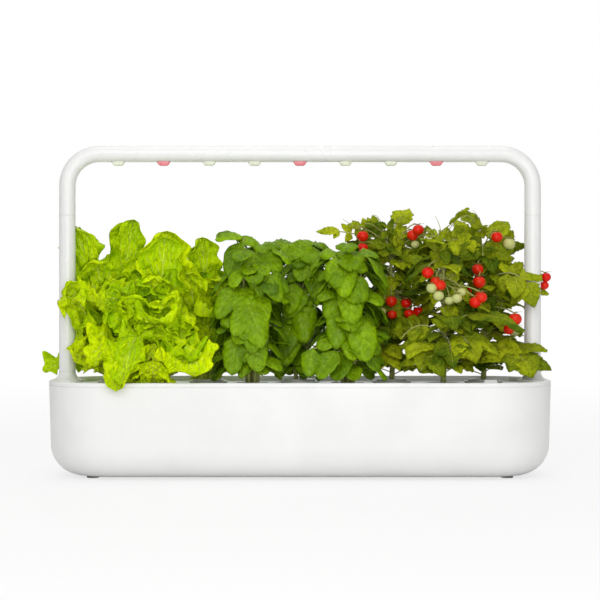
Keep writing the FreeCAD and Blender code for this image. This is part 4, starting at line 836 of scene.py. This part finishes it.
def basil_plant(number):
    """One basil: the table's leaves hang by their stalks, and pairs of filling leaves climb the stems."""
    x, y = pod_place(number)
    rows = np.array(BASIL[number], float)
    draw = np.random.default_rng(200 + number)
    turn = np.radians(rows[:, 5])
    way = np.stack([np.cos(turn), -np.sin(np.radians(rows[:, 6])), np.sin(turn)], -1)
    tips = rows[:, :3]
    foots = tips - unit(way) * rows[:, 3:4]
    count = BASIL_FILL
    level = np.repeat(np.linspace(0.03, 1.0, count // 2), 2)
    angle = (np.arange(count) * math.pi + np.repeat(np.arange(count // 2) * math.pi / 2, 2)
             + draw.normal(0, 0.35, count))
    top = MIDDLE_BASIL_TOP if number == 5 else BASIL_TOP
    grow = np.stack([np.cos(angle), np.sin(angle)], -1)
    reach = 25 * draw.uniform(0.3, 1.15, count)
    more = np.stack([x + grow[:, 0] * reach, y + grow[:, 1] * reach, SOIL_TOP + 14 + top * level], -1)
    long = draw.uniform(30, 50, count)
    drop = draw.uniform(-0.95, -0.1, count) * long
    end = more + np.stack([grow[:, 0] * long * 0.6, grow[:, 1] * long * 0.6, drop], -1)
    end[:, 2] = np.maximum(end[:, 2], SOIL_TOP + 4)
    end[:, 0] = np.clip(end[:, 0], x - 50, x + 50)
    end[:, 1] = np.clip(end[:, 1], -92, 92)
    feet, bends, ends, wide = main_leaves(number, BASIL_MAIN[number], 0.15)
    foot = np.concatenate([foots, more, feet])
    tip = np.concatenate([tips, end, ends])
    run = np.linalg.norm(tip - foot, axis=-1, keepdims=True)
    bend = (foot + tip) / 2 + UP * run * 0.26
    bend[: len(rows), 1] -= run[: len(rows), 0] * 0.12
    bend[-len(feet):] = bends
    up = np.broadcast_to(unit(np.array([0.0, -0.3, 1.0])), feet.shape)
    face = np.concatenate([facing(rows[:, 7], rows[:, 8]),
                           facing(np.degrees(angle) + 90, draw.uniform(25.0, 70.0, count)), up])
    width = np.concatenate([rows[:, 4] * 0.98, long * draw.uniform(0.52, 0.68, count), wide])
    tone = np.concatenate([rows[:, 9], draw.uniform(0.1, 1.0, count), draw.uniform(0.2, 0.7, len(feet))])
    leaf = blades(23, 15, foot, bend, tip, width, face, basil_outline, basil_relief, tone)
    stems = []
    for k in range(BASIL_STEMS):
        lean = 2 * math.pi * k / BASIL_STEMS + number
        foot_x, foot_y = x + 6 * math.cos(lean), y + 6 * math.sin(lean)
        stems.append([[foot_x, foot_y, SOIL_TOP - 1], [foot_x + 5 * math.cos(lean), foot_y, SOIL_TOP + 70],
                      [foot_x + 12 * math.cos(lean), foot_y + 8 * math.sin(lean), SOIL_TOP + top]])
    stems = np.array(stems)
    path, _ = bezier(stems[:, 0], stems[:, 1], stems[:, 2], np.linspace(0, 1, 12))
    thick = np.broadcast_to(np.linspace(2.6, 1.1, 12), path.shape[:2])
    hold = path.reshape(-1, 3)[np.argmin(np.linalg.norm(
        foot[:, None] - path.reshape(-1, 3)[None] + np.array([0, 0, -6.0]), axis=-1), axis=1)]
    stalk, _ = bezier(hold, (hold + foot) / 2 + np.array([0, 0, 3.0]), foot, np.linspace(0, 1, 6))
    rods = [tubes(path, thick, 8), tubes(stalk, 0.8, 6)]
    return leaf, joined([(p, f, w, 0.4) for p, f, w in rods])


# Compound tomato leaves: tip (x, y, z), height where the leaf leaves the stem, width of its leaflets,
# how far the bend lies towards the tip, height of the bend, where it looks (turn, tilt), tone.
TOMATO = {
    7: [(20, 20, 296, 276, 15, 0.5, 302, 0, 40, 0.05), (58, 26, 304, 282, 15, 0.5, 306, 10, 40, 0.4),
        (80, 20, 306, 284, 15, 0.5, 308, 10, 40, 0.7), (106, 14, 300, 280, 16, 0.4, 306, 0, 30, 0.8),
        (126, 16, 288, 272, 22, 0.5, 294, 10, 30, 0.6), (108, 18, 276, 258, 30, 0.5, 290, 0, 30, 0.75),
        (144, 22, 266, 260, 30, 0.6, 290, 10, 25, 0.6), (84, 20, 250, 240, 26, 0.5, 270, -10, 30, 0.5),
        (144, 24, 220, 210, 28, 0.6, 240, 15, 30, 0.7), (78, 26, 196, 200, 28, 0.6, 220, -15, 30, 0.5),
        (96, -14, 128, 150, 36, 0.6, 176, -10, 40, 0.0), (72, -20, 156, 168, 36, 0.6, 196, -15, 40, 0.8),
        (140, -4, 168, 176, 30, 0.6, 200, 15, 35, 0.8), (66, 70, 270, 240, 28, 0.5, 285, 170, 35, 0.5),
        (150, 78, 250, 230, 28, 0.5, 268, 160, 35, 0.6), (116, 92, 200, 190, 28, 0.5, 225, 180, 35, 0.6),
        (76, 66, 170, 160, 28, 0.5, 195, 200, 35, 0.5)],
    8: [(158, -60, 286, 272, 17, 0.5, 294, -10, 30, 0.5), (192, -56, 278, 268, 22, 0.5, 294, 10, 30, 0.4),
        (138, -34, 248, 232, 26, 0.5, 262, -15, 25, 0.6), (188, -24, 256, 240, 26, 0.6, 270, 0, 30, 0.85),
        (142, -72, 128, 150, 38, 0.6, 178, -15, 40, 0.8), (178, -88, 132, 160, 24, 0.6, 180, 0, 40, 0.85),
        (206, -74, 138, 160, 30, 0.6, 190, 20, 40, 0.5), (166, -84, 180, 180, 24, 0.6, 206, 0, 30, 0.6),
        (208, -40, 172, 176, 30, 0.6, 206, 10, 30, 0.9), (120, -52, 166, 170, 28, 0.6, 196, -20, 30, 0.6),
        (186, -42, 222, 210, 24, 0.6, 240, 5, 30, 0.6), (150, -20, 250, 230, 26, 0.5, 270, 170, 30, 0.6),
        (196, -18, 200, 190, 26, 0.5, 225, 160, 30, 0.6)],
    9: [(200, 14, 280, 272, 30, 0.5, 298, -15, 30, 0.15), (224, 8, 266, 270, 40, 0.35, 292, 0, 25, 0.8),
        (222, 10, 300, 284, 16, 0.5, 304, 0, 30, 0.5), (281, -30, 203, 236, 36, 0.80, 266, 5, 30, 0.5),
        (256, 24, 262, 240, 30, 0.5, 276, 20, 30, 0.4), (256, 22, 226, 210, 30, 0.6, 246, 10, 25, 0.8),
        (250, 22, 200, 190, 28, 0.6, 226, 10, 25, 0.85), (276, -48, 120, 150, 42, 0.6, 172, 10, 45, 0.6),
        (240, -40, 128, 150, 36, 0.6, 174, -5, 45, 0.2), (214, 2, 190, 180, 30, 0.6, 214, -10, 25, 0.7),
        (270, 66, 270, 240, 28, 0.5, 285, 150, 35, 0.5), (206, 76, 250, 230, 28, 0.5, 268, 200, 35, 0.6),
        (262, 80, 200, 190, 28, 0.5, 222, 160, 35, 0.6), (222, 88, 176, 170, 26, 0.5, 200, 190, 35, 0.6)],
}
# Thin bare shoots: bend (x, y, z), tip (x, y, z) and the height where the shoot leaves the stem.
CURLS = {
    7: [(70, 20, 300, 52, 18, 312, 280), (96, 16, 320, 90, 12, 316, 285), (118, 14, 318, 128, 10, 312, 285),
        (60, 18, 276, 44, 12, 270, 262), (138, 14, 300, 160, 8, 296, 270)],
    8: [(170, -44, 300, 160, -50, 312, 270), (184, -50, 316, 200, -54, 312, 275),
        (150, -44, 296, 140, -50, 286, 262), (196, -44, 250, 176, -60, 236, 238),
        (160, -50, 220, 172, -60, 196, 222)],
    9: [(214, 22, 320, 186, 8, 302, 285), (210, 22, 330, 196, 6, 308, 288),
        (226, 28, 312, 212, 10, 322, 288), (250, 20, 262, 266, 14, 252, 258),
        (262, 16, 214, 240, 8, 196, 222), (244, 10, 170, 262, 0, 160, 178)],
}
# Fruit: centre (x, y, z), radius, and the height where the stalk leaves the stem.
RIPE = {
    7: [(77, 16, 290.4, 7.2, 273), (138, 8, 291.4, 7.2, 265), (112, 12, 210.4, 7.2, 231),
        (146, 13, 197.4, 7.2, 221), (77, 15, 276, 6.6, 268), (144, -2, 297.5, 7.0, 272),
        (130, 10, 208, 6.4, 226), (134, 10, 195, 6.6, 216), (113, 10, 194, 6.0, 214)],
    8: [(151, -58, 244.4, 7.2, 259), (165, -62, 229.4, 7.2, 245), (207, -58, 209.4, 7.2, 229),
        (160, -60, 234, 6.0, 250), (214, -60, 215, 7.0, 232)],
    9: [(217, 4, 249.4, 7.2, 263), (204, 12, 221.4, 7.2, 237), (242, 16, 289.4, 7.2, 273),
        (258, 16, 183.4, 7.2, 201), (216, -20, 233.7, 7.8, 250), (216, -22, 216.5, 6.4, 238),
        (250, -34, 177, 6.6, 196), (258, -30, 189, 8.2, 204), (302, 14, 240, 6.2, 262),
        (300, 14, 230, 5.6, 256)],
}
UNRIPE = {
    7: [(100, 8, 197.4, 5.6, 225), (46, 10, 262, 6.0, 262), (141, 8, 280, 5.2, 264)],
    8: [(176, -60, 211.4, 5.6, 231), (191, -56, 221.4, 5.6, 237), (155, -64, 226, 6.4, 244),
        (163, -66, 217, 6.4, 236), (185, -62, 214, 6.2, 232)],
    9: [(258, 22, 281.4, 7.6, 269), (264, 24, 171.4, 5.6, 193), (262, -36, 176.5, 4.6, 196)],
}


def main_stem(number):
    """The bend of a tomato's main stem, from the soil to its top."""
    x, y = pod_place(number)
    return np.array([[x, y, SOIL_TOP - 1]]), np.array([[x + 5, y - 3, 200]]), np.array([[x - 4, y + 2, 296]])


def on_stem(number, heights):
    """The points of the main stem nearest to some heights."""
    path, _ = bezier(*main_stem(number), np.linspace(0, 1, 60))
    path = path[0]
    return path[np.argmin(np.abs(path[None, :, 2] - np.asarray(heights, float)[:, None]), axis=1)]


def behind_fruit(points):
    """Points that would hang in front of a fruit, moved to just behind the nearest one."""
    fruit = np.array([row[:4] for table in (RIPE, UNRIPE) for rows in table.values() for row in rows], float)
    away = np.hypot(points[..., None, 0] - fruit[:, 0], points[..., None, 2] - fruit[:, 2])
    near = np.argmin(away, axis=-1)
    back = fruit[near, 1] + fruit[near, 3] + 5
    hides = (np.min(away, axis=-1) < fruit[near, 3] + FRUIT_CLEAR) & (points[..., 1] < back)
    points[..., 1] = np.where(hides, back, points[..., 1])
    return points


def tomato_plant(number):
    """One tomato: compound leaves, each with a leaf at its end and three pairs along its stalk."""
    draw = np.random.default_rng(300 + number)
    rows = np.array(TOMATO[number], float)
    foot, tip = on_stem(number, rows[:, 3]), rows[:, :3]
    bend = foot + (tip - foot) * rows[:, 5:6]
    bend[:, 2] = rows[:, 6]
    spans = np.array([0.34, 0.34, 0.52, 0.52, 0.70, 0.70, 0.66])
    hand = np.array([-1, 1, -1, 1, -1, 1, 0.0])
    size = np.array([0.6, 0.6, 0.8, 0.8, 0.7, 0.7, 1.15])
    reach = np.linspace(0, 1, 101)
    line, along = bezier(foot, bend, tip, reach)
    look = facing(rows[:, 7], rows[:, 8])[:, None]
    pick = (spans * 100).astype(int)
    start, run = line[:, pick], along[:, pick]
    side = unit(np.cross(run, np.broadcast_to(look, run.shape)))
    wide = rows[:, 4][:, None, None] * size[None, :, None] * draw.uniform(0.85, 1.15, (len(rows), 7, 1))
    way = unit(run * np.where(hand == 0, 1.0, 0.55)[None, :, None] + side * hand[None, :, None] * 0.9
               + np.array([0, 0, -0.22]) + draw.normal(0, 0.12, start.shape))
    end = start + way * wide * 1.35
    end[:, 6] = tip
    middle = (start + end) / 2 + look * wide * 0.10 + UP * wide * 0.10
    end, middle = behind_fruit(end), behind_fruit(middle)
    short = start + way * wide * 0.10
    faces = flat(np.broadcast_to(look, start.shape) + draw.normal(0, 0.22, start.shape))
    tone = np.clip(np.repeat(rows[:, 9], 7) + draw.normal(0, 0.12, len(rows) * 7), 0, 1)
    feet, bends, tips, breadth = main_leaves(number, TOMATO_MAIN[number], 0.3)
    count = TOMATO_FILL
    angle = np.arange(count) * GOLDEN + number
    level = np.linspace(0.03, 0.92, count)
    root = on_stem(number, SOIL_TOP + 178 * level)
    out = np.stack([np.cos(angle), np.sin(angle) * 0.9, 0 * angle], -1)
    near = root + out * draw.uniform(6, 26, (count, 1)) + np.array([0, 4, 6.0])
    far = near + out * draw.uniform(20, 34, (count, 1)) - UP * draw.uniform(4, 30, (count, 1))
    far[:, 2] = np.maximum(far[:, 2], SOIL_TOP + 13)
    near, far = behind_fruit(near), behind_fruit(far)
    arch = behind_fruit((near + far) / 2 + np.array([0, 0, 8.0]))
    look_out = facing(np.degrees(angle) + 90, draw.uniform(15, 65, count))
    look_up = np.broadcast_to(unit(np.array([0.0, -0.3, 1.0])), feet.shape)
    leaf = blades(
        25, 11, join(flat(short), near, feet), join(flat(middle), arch, bends), join(flat(end), far, tips),
        join(flat(wide)[:, 0] * 0.90, draw.uniform(18, 34, count), breadth),
        join(unit(faces), look_out, look_up),
        tomato_outline, tomato_relief,
        join(tone, draw.uniform(0.2, 1.1, count), draw.uniform(0.2, 0.9, len(feet))))
    stem, _ = bezier(*main_stem(number), np.linspace(0, 1, 24))
    stalk = line[:, ::10]
    twig, _ = bezier(flat(start), flat((start + short) / 2 + 0.2), flat(short), np.linspace(0, 1, 4))
    axis = on_stem(number, np.maximum(feet[:, 2] - 8, SOIL_TOP))
    hold, _ = bezier(join(root, axis), join((root + near) / 2 + 1, (axis + feet) / 2 + 1), join(near, feet),
                     np.linspace(0, 1, 5))
    rods = [tubes(stem, np.linspace(3.4, 1.5, 24)[None], 10),
            tubes(stalk, np.linspace(1.1, 0.6, 11)[None], 6), tubes(twig, 0.55, 5), tubes(hold, 0.7, 6)]
    curl = np.array(CURLS[number], float)
    path, _ = bezier(on_stem(number, curl[:, 6]), curl[:, :3], curl[:, 3:6], np.linspace(0, 1, 16))
    rods.append(tubes(path, np.linspace(0.7, 0.25, 16)[None], 6))
    return leaf, joined([(p, f, w, 0.45) for p, f, w in rods])


def sepal_outline(u, v, number):
    """Widest a third of the way along, then drawn out to a point."""
    return 0.25 + 0.75 * np.sin(math.pi * u ** 0.7) * (1 - u ** 3)


def sepal_relief(u, v, number):
    """Folded up along its middle."""
    return 0.3 * np.abs(v) + 0 * u, 0 * u * v


def fruit_set(number, rows, rings=17, steps=24):
    """Round fruits, a little flattened, with a dimple at the stalk: radius times (sin a, 0.94 cos a
    - 0.16 e^(-(a/0.35)^2)), and each one's calyx and stalk."""
    rows = np.array(rows, float)
    around = np.linspace(0, 2 * math.pi, steps, endpoint=False)
    polar = np.linspace(0, math.pi, rings)
    radius = rows[:, 3][:, None, None]
    a, b = polar[None, :, None], around[None, None, :]
    rib = 1 + 0.012 * np.cos(5 * b) * np.sin(a)
    level = np.cos(a) * 0.94 - 0.16 * np.exp(-(a / 0.35) ** 2)
    girth = radius * np.sin(a) * rib
    points = np.stack(np.broadcast_arrays(
        girth * np.cos(b), girth * np.sin(b), radius * level + 0 * b), -1)
    points = points + rows[:, None, None, :3]
    span = np.meshgrid(np.linspace(0, 1, rings), np.linspace(0, 1, steps), indexing="ij")
    uv = np.broadcast_to(np.stack(span, -1), points.shape[:-1] + (2,))
    tone = np.random.default_rng(number).uniform(0, 0.5, len(rows))[:, None, None] + 0 * points[..., 0]
    faces = quads(rings, steps, len(rows), closed=True)[:, ::-1]
    crown = rows[:, :3] + UP * rows[:, 3:4] * 0.78
    hold = on_stem(number, rows[:, 4])
    knee = crown + np.stack([(hold[:, 0] - crown[:, 0]) * 0.25, (hold[:, 1] - crown[:, 1]) * 0.25,
                             np.full(len(rows), 9.0)], -1)
    knee[:, 2] = np.maximum(knee[:, 2], hold[:, 2] - 4)
    path, _ = bezier(hold, knee, crown, np.linspace(0, 1, 14))
    rods = tubes(path, np.linspace(0.9, 0.7, 14)[None], 6)
    turn = np.arange(5) * 2 * math.pi / 5
    out = np.stack([np.cos(turn), np.sin(turn), 0 * turn], -1)[None]
    top = crown[:, None] + UP * 0.3
    size = rows[:, 3][:, None, None]
    sepal_foot = np.broadcast_to(top, (len(rows), 5, 3)).reshape(-1, 3)
    sepal_mid = (top + out * size * 0.50 + UP * size * 0.22).reshape(-1, 3)
    sepal_tip = (top + out * size * 1.08 + UP * size * 0.26).reshape(-1, 3)
    up = np.broadcast_to(UP, sepal_foot.shape)
    calyx = blades(7, 5, sepal_foot, sepal_mid, sepal_tip, np.repeat(rows[:, 3] * 0.34, 5), up,
                   sepal_outline, sepal_relief, np.full(len(sepal_foot), 0.3))
    return (points, faces, uv, tone), joined([rods + (0.5,), calyx])


# ---------------------------------------------------------------- operators

class Step(bpy.types.Operator):
    """A step in finishing the garden."""
    bl_options = {"REGISTER", "UNDO"}

    def execute(self, context):
        self.make(context)
        return {"FINISHED"}


class GARDEN_OT_shell(Step):
    """Finish the tank, lid, legs and lamp tube with smooth white mouldings."""
    bl_idname = "garden.shell"
    bl_label = "Tank, lid, legs and lamp tube"

    def make(self, context):
        for node, body, slot, look in (
                ("tank", "tank", "white_shell", "shell"), ("lid", "lid", "white_shell", "shell"),
                ("left_leg", "legs", "white_tube", "tube"), ("right_leg", "legs", "white_tube", "tube"),
                ("lamp_tube", "lamp", "white_tube", "tube"), ("fill_cap", "fill_cap", "white_shell", "shell"),
                ("control_box", "lid", "white_shell", "shell")):
            place(smooth_copy(node, f"smooth_{node}"), body, slot, finish(look), node)


class GARDEN_OT_fittings(Step):
    """Give the small fittings their finishes: feet, boards, plug, leads, inlet, key, float and screws."""
    bl_idname = "garden.fittings"
    bl_label = "Small fittings"

    def make(self, context):
        for node, look in (("rubber_feet", "foot"), ("led_board", "board"), ("lamp_plug", "black"),
                           ("leg_harness", "black"), ("lid_contact", "black"), ("control_board", "board"),
                           ("power_jack", "black"), ("light_button", "cup"), ("float", "float"),
                           ("box_screws", "steel")):
            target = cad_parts[node]
            target.data.materials.clear()
            target.data.materials.append(finish(look))


class GARDEN_OT_lenses(Step):
    """Nine milky lenses under the lamp: squared ovals that narrow downwards, edges rounded."""
    bl_idname = "garden.lenses"
    bl_label = "Lenses"

    def make(self, context):
        angle = np.linspace(0, 2 * math.pi, 48, endpoint=False)
        cos, sin = np.cos(angle), np.sin(angle)
        round_x = np.sign(cos) * np.abs(cos) ** 0.55
        round_y = np.sign(sin) * np.abs(sin) ** 0.55
        low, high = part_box("lens_1")
        base, top = low[2] / MM, high[2] / MM
        levels = np.array([(0.0, 0.0, top), (8.2, 3.7, top), (8.2, 3.7, base + 5.6), (8.5, 4.0, base + 5.0),
                           (6.9, 3.5, base + 2.2), (5.6, 3.1, base + 0.8), (4.9, 2.6, base + 0.2),
                           (4.2, 2.1, base), (0.0, 0.0, base - 0.1)])
        for number in range(1, 10):
            low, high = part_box(f"lens_{number}")
            middle = (low[0] + high[0]) / 2 / MM
            rings = np.stack([middle + levels[:, :1] * round_x, levels[:, 1:2] * round_y,
                              levels[:, 2:] + 0 * angle], -1)
            red = number in RED_LENSES
            piece = add_piece(f"lens_cap_{number}", rings, quads(len(levels), 48, closed=True)[:, ::-1])
            place(piece, "lamp", "red_lens" if red else "pale_lens", finish("red" if red else "pale"),
                  f"lens_{number}")


def cup_profile():
    """Section of a cup as (radius, height): the foot, the wall that draws in by CUP_LEAN times its
    depth, the round-edged flange, and back down inside."""
    foot, outer = FLANGE_BASE - CUP_DEPTH, CUP_RADIUS - 0.05
    return [(0, foot), (outer - 46 * CUP_LEAN - 1, foot), (outer - 45.4 * CUP_LEAN, foot + 0.9),
            (outer - 0.3, FLANGE_BASE - 0.05), (CUP_FLANGE - 0.8, FLANGE_BASE),
            (CUP_FLANGE, FLANGE_BASE + 0.7), (CUP_FLANGE, FLANGE_TOP - 0.9),
            (CUP_FLANGE - 0.3, FLANGE_TOP - 0.3), (CUP_FLANGE - 1.0, FLANGE_TOP),
            (outer - 0.6, FLANGE_TOP), (outer - 1.1, FLANGE_TOP - 0.5), (outer - 1.5, FLANGE_BASE - 0.4),
            (outer - 44.5 * CUP_LEAN - 1.3, foot + 1.4), (0, foot + 1.3)]


def cover_profile(hole):
    """Section of the white disc that lies on the soil, round a hole for the stem."""
    rim = COVER_RADIUS - 0.4
    return [(rim, FLANGE_TOP + 0.1), (COVER_RADIUS, FLANGE_TOP + 0.1), (COVER_RADIUS, SOIL_TOP + 0.3),
            (COVER_RADIUS - 0.3, SOIL_TOP + 0.7), (hole + 0.4, SOIL_TOP + 0.9), (hole, SOIL_TOP + 0.6),
            (hole + 0.4, SOIL_TOP + 0.1), (rim, SOIL_TOP + 0.1), (rim, FLANGE_TOP + 0.1)]


def soil_plug(number, relief, rings=26, steps=72, fade=3.0):
    """A plug of soil: its top crumbles at two scales of relief, which fade near its edge, and its side
    leans in to the foot of the cup."""
    x, y = pod_place(number)
    foot = FLANGE_BASE - CUP_DEPTH
    radius = np.concatenate([[0.0], np.linspace(1.2, 17.7, rings), [18.1, 18.2, 18.1, 13.6, 13.0, 0.0]])
    level = np.concatenate([np.full(rings + 1, SOIL_TOP - 0.2), [
        SOIL_TOP - 0.6, SOIL_TOP - 1.4, FLANGE_BASE - 1.0, foot + 2.3, foot + 1.6, foot + 1.6]])
    angle = np.linspace(0, 2 * math.pi, steps, endpoint=False)
    px = x + radius[:, None] * np.cos(angle)
    py = y + radius[:, None] * np.sin(angle)
    lumps = ripple(px, py, 40 + number, 9, 1.1) * 0.6 + ripple(px, py, 60 + number, 9, 2.6) * 0.4
    top = (np.arange(len(radius)) < rings + 2)[:, None]
    inside = np.clip((18.0 - radius[:, None]) / fade, 0, 1) * top
    pz = level[:, None] + relief * (lumps * 0.5 - 0.35) * inside
    return np.stack([px, py, pz], -1), quads(len(radius), steps, closed=True)[:, ::-1]


class GARDEN_OT_cups(Step):
    """Nine white cups with round rims and tapering walls, a plug of soil in each and a disc on it."""
    bl_idname = "garden.cups"
    bl_label = "Cups and soil"

    def make(self, context):
        relief = context.scene.garden_soil.relief / MM
        for number in range(1, 10):
            pod, centre = f"pod_{number}", pod_place(number)
            cup = place(add_piece(f"cup_{number}", *turned(cup_profile(), 64, centre)), pod, "white_cup",
                        finish("cup"), f"pod_cup_{number}")
            edge = cup.modifiers.new("soft edges", "BEVEL")
            edge.width, edge.segments, edge.limit_method = 0.0002, 1, "ANGLE"
            place(add_piece(f"soil_{number}", *soil_plug(number, relief)), pod, "soil", finish("soil"),
                  f"soil_plug_{number}")
            hole = LETTUCE_HOLE if number < 4 else STEM_HOLE
            place(add_piece(f"seed_cover_{number}", *turned(cover_profile(hole), 64, centre)), pod,
                  "white_cup", finish("cup"))


def add_plant(context, number, kind, index, leaf, stem=None):
    """Puts a plant's leaves and, where it has any, its stems on its pod."""
    piece = add_piece(f"{kind}_leaves_{index}", *leaf)
    thicken(piece, context.scene.garden_plants.leaf)
    node = f"tomato_plant_{index}" if kind == "tomato" else f"{kind}_{index}"
    place(piece, f"pod_{number}", f"{kind}_leaf", finish(kind), node)
    if stem is not None:
        place(add_piece(f"{kind}_stems_{index}", *stem), f"pod_{number}", f"{kind}_leaf", finish("stem"))


class GARDEN_OT_lettuce(Step):
    """Three heads of ruffled lettuce."""
    bl_idname = "garden.lettuce"
    bl_label = "Lettuce"

    def make(self, context):
        for index in (1, 2, 3):
            add_plant(context, index, "lettuce", index, lettuce_plant(index))


class GARDEN_OT_basil(Step):
    """Three basil plants with glossy quilted leaves."""
    bl_idname = "garden.basil"
    bl_label = "Basil"

    def make(self, context):
        for index in (1, 2, 3):
            add_plant(context, index + 3, "basil", index, *basil_plant(index + 3))


class GARDEN_OT_tomato(Step):
    """Three tomato plants with toothed compound leaves."""
    bl_idname = "garden.tomato"
    bl_label = "Tomato plants"

    def make(self, context):
        for index in (1, 2, 3):
            add_plant(context, index + 6, "tomato", index, *tomato_plant(index + 6))


class GARDEN_OT_fruit(Step):
    """Ripe and unripe cherry tomatoes with their calyxes and stalks."""
    bl_idname = "garden.fruit"
    bl_label = "Fruit"

    def make(self, context):
        for index in (1, 2, 3):
            number = index + 6
            for kind, table in (("ripe", RIPE), ("unripe", UNRIPE)):
                skin, stalk = fruit_set(number, table[number])
                place(add_piece(f"{kind}_fruit_{index}", *skin), f"pod_{number}", f"{kind}_fruit",
                      finish(kind), f"{kind}_tomatoes_{index}")
                place(add_piece(f"{kind}_stalks_{index}", *stalk), f"pod_{number}", "tomato_leaf",
                      finish("stem"))


# Lamps: where each stands, in metres, its size and its share of the key's power.
LAMPS = {"key": ((-0.25, -1.7, 1.1), 1.3, 1.0), "side": ((0.8, -1.6, 0.8), 0.9, 0.20),
         "low": ((0.1, -1.7, 0.27), 0.5, 0.36), "top": ((0.0, 0.1, 1.7), 1.4, 0.60),
         "back": ((0.0, 1.5, 0.8), 1.3, 0.4)}
LAMP_AIM = (0, 0, 0.2)
FLOOR_SPAN, FLOOR_COLOUR, FLOOR_ROUGHNESS = 40.0, (0.93, 0.93, 0.93), 0.6
SHADOW_NEAR, SHADOW_FAR, SHADOW_SHARE = 0.35, 2.2, 0.72


def set_camera(scene, stage):
    """A camera that looks level along +Y."""
    camera = bpy.data.objects.new("camera", bpy.data.cameras.new("camera"))
    camera.data.lens = stage.focal
    camera.location = (0, -stage.distance, stage.height)
    camera.rotation_euler = (math.pi / 2, 0, 0)
    scene.collection.objects.link(camera)
    scene.camera = camera


def set_world(scene, stage):
    """A white background, which lights the garden less from its two sides."""
    world = bpy.data.worlds.new("studio")
    scene.world = world
    world.use_nodes = True
    work = Tree(world.node_tree)
    back = next(n for n in world.node_tree.nodes if n.type == "BACKGROUND")
    back.inputs["Color"].default_value = (1, 1, 1, 1)
    ray = work.put("LightPath")
    seen = work.math("MAXIMUM", ray.outputs["Is Camera Ray"], ray.outputs["Is Transmission Ray"])
    way = work.put("SeparateXYZ")
    work.link(work.put("TexCoord").outputs["Generated"], way.inputs[0])
    sides = work.math("MULTIPLY", way.outputs["X"], way.outputs["X"])
    fill = work.math("MULTIPLY", work.math("MULTIPLY_ADD", sides, -stage.flags, 1.0), stage.fill)
    work.link(work.math("MAXIMUM", seen, fill), back.inputs["Strength"])


def set_floor():
    """A white floor that keeps the garden's shadow near it and fades to pure white further off."""
    span = FLOOR_SPAN / MM
    corners = np.array([(-span, -span, 0), (span, -span, 0), (span, span, 0), (-span, span, 0)])
    floor = add_piece("floor", corners, np.array([[0, 1, 2, 3]]))
    material, work, shader = new_material("white floor")
    shader.inputs["Base Color"].default_value = rgba(FLOOR_COLOUR)
    shader.inputs["Roughness"].default_value = FLOOR_ROUGHNESS
    glow = work.put("Emission")
    glow.inputs["Strength"].default_value = 1.0
    blend = work.put("MixShader")
    far = work.put("VectorMath", operation="LENGTH")
    work.link(work.where(), far.inputs[0])
    fade = work.ramp(far.outputs["Value"], SHADOW_NEAR, SHADOW_FAR, SHADOW_SHARE, 1.0)
    camera_ray = work.put("LightPath").outputs["Is Camera Ray"]
    work.link(work.math("MULTIPLY", camera_ray, fade), blend.inputs["Fac"])
    work.link(shader.outputs[0], blend.inputs[1])
    work.link(glow.outputs[0], blend.inputs[2])
    out = next(n for n in material.node_tree.nodes if n.type == "OUTPUT_MATERIAL")
    work.link(blend.outputs[0], out.inputs["Surface"])
    floor.data.materials.append(material)


def set_lamps(scene, stage):
    """Round soft lamps, each turned towards the middle of the garden."""
    for name, (spot, size, share) in LAMPS.items():
        lamp = bpy.data.lights.new(name, "AREA")
        lamp.shape, lamp.size, lamp.energy = "DISK", size, stage.key * share
        holder = bpy.data.objects.new(name, lamp)
        holder.location = spot
        aim = np.array(LAMP_AIM) - np.array(spot)
        level = math.hypot(aim[0], aim[1])
        holder.rotation_euler = (math.atan2(level, -aim[2]), 0, math.atan2(aim[1], aim[0]) - math.pi / 2)
        holder.visible_camera = False
        scene.collection.objects.link(holder)


class GARDEN_OT_stage(Step):
    """Camera, white floor and plain soft studio light."""
    bl_idname = "garden.stage"
    bl_label = "Stage"

    def make(self, context):
        scene, stage = context.scene, context.scene.garden_stage
        set_camera(scene, stage)
        set_world(scene, stage)
        set_floor()
        set_lamps(scene, stage)
        scene.view_settings.view_transform = "Standard"


STEPS = (GARDEN_OT_stage, GARDEN_OT_shell, GARDEN_OT_fittings, GARDEN_OT_lenses, GARDEN_OT_cups,
         GARDEN_OT_lettuce, GARDEN_OT_basil, GARDEN_OT_tomato, GARDEN_OT_fruit)


class GARDEN_PT_sidebar(bpy.types.Panel):
    """Lists the garden's settings and steps."""
    bl_idname = "GARDEN_PT_sidebar"
    bl_label = "Hydroponic garden"
    bl_space_type = "VIEW_3D"
    bl_region_type = "UI"
    bl_category = "Garden"

    def draw(self, context):
        for name, group in SETTINGS.items():
            box = self.layout.box()
            for key in group.__annotations__:
                box.prop(getattr(context.scene, name), key)
        for step in STEPS:
            self.layout.operator(step.bl_idname)


def register():
    for group in SETTINGS.values():
        bpy.utils.register_class(group)
    for name, group in SETTINGS.items():
        setattr(bpy.types.Scene, name, bpy.props.PointerProperty(type=group))
    for step in STEPS + (GARDEN_PT_sidebar,):
        bpy.utils.register_class(step)


def unregister():
    for step in (GARDEN_PT_sidebar,) + STEPS[::-1]:
        bpy.utils.unregister_class(step)
    for name, group in SETTINGS.items():
        delattr(bpy.types.Scene, name)
        bpy.utils.unregister_class(group)


def main():
    """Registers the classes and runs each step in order."""
    register()
    for step in STEPS:
        family, name = step.bl_idname.split(".")
        getattr(getattr(bpy.ops, family), name)()


if __name__ == "__main__":
    main()
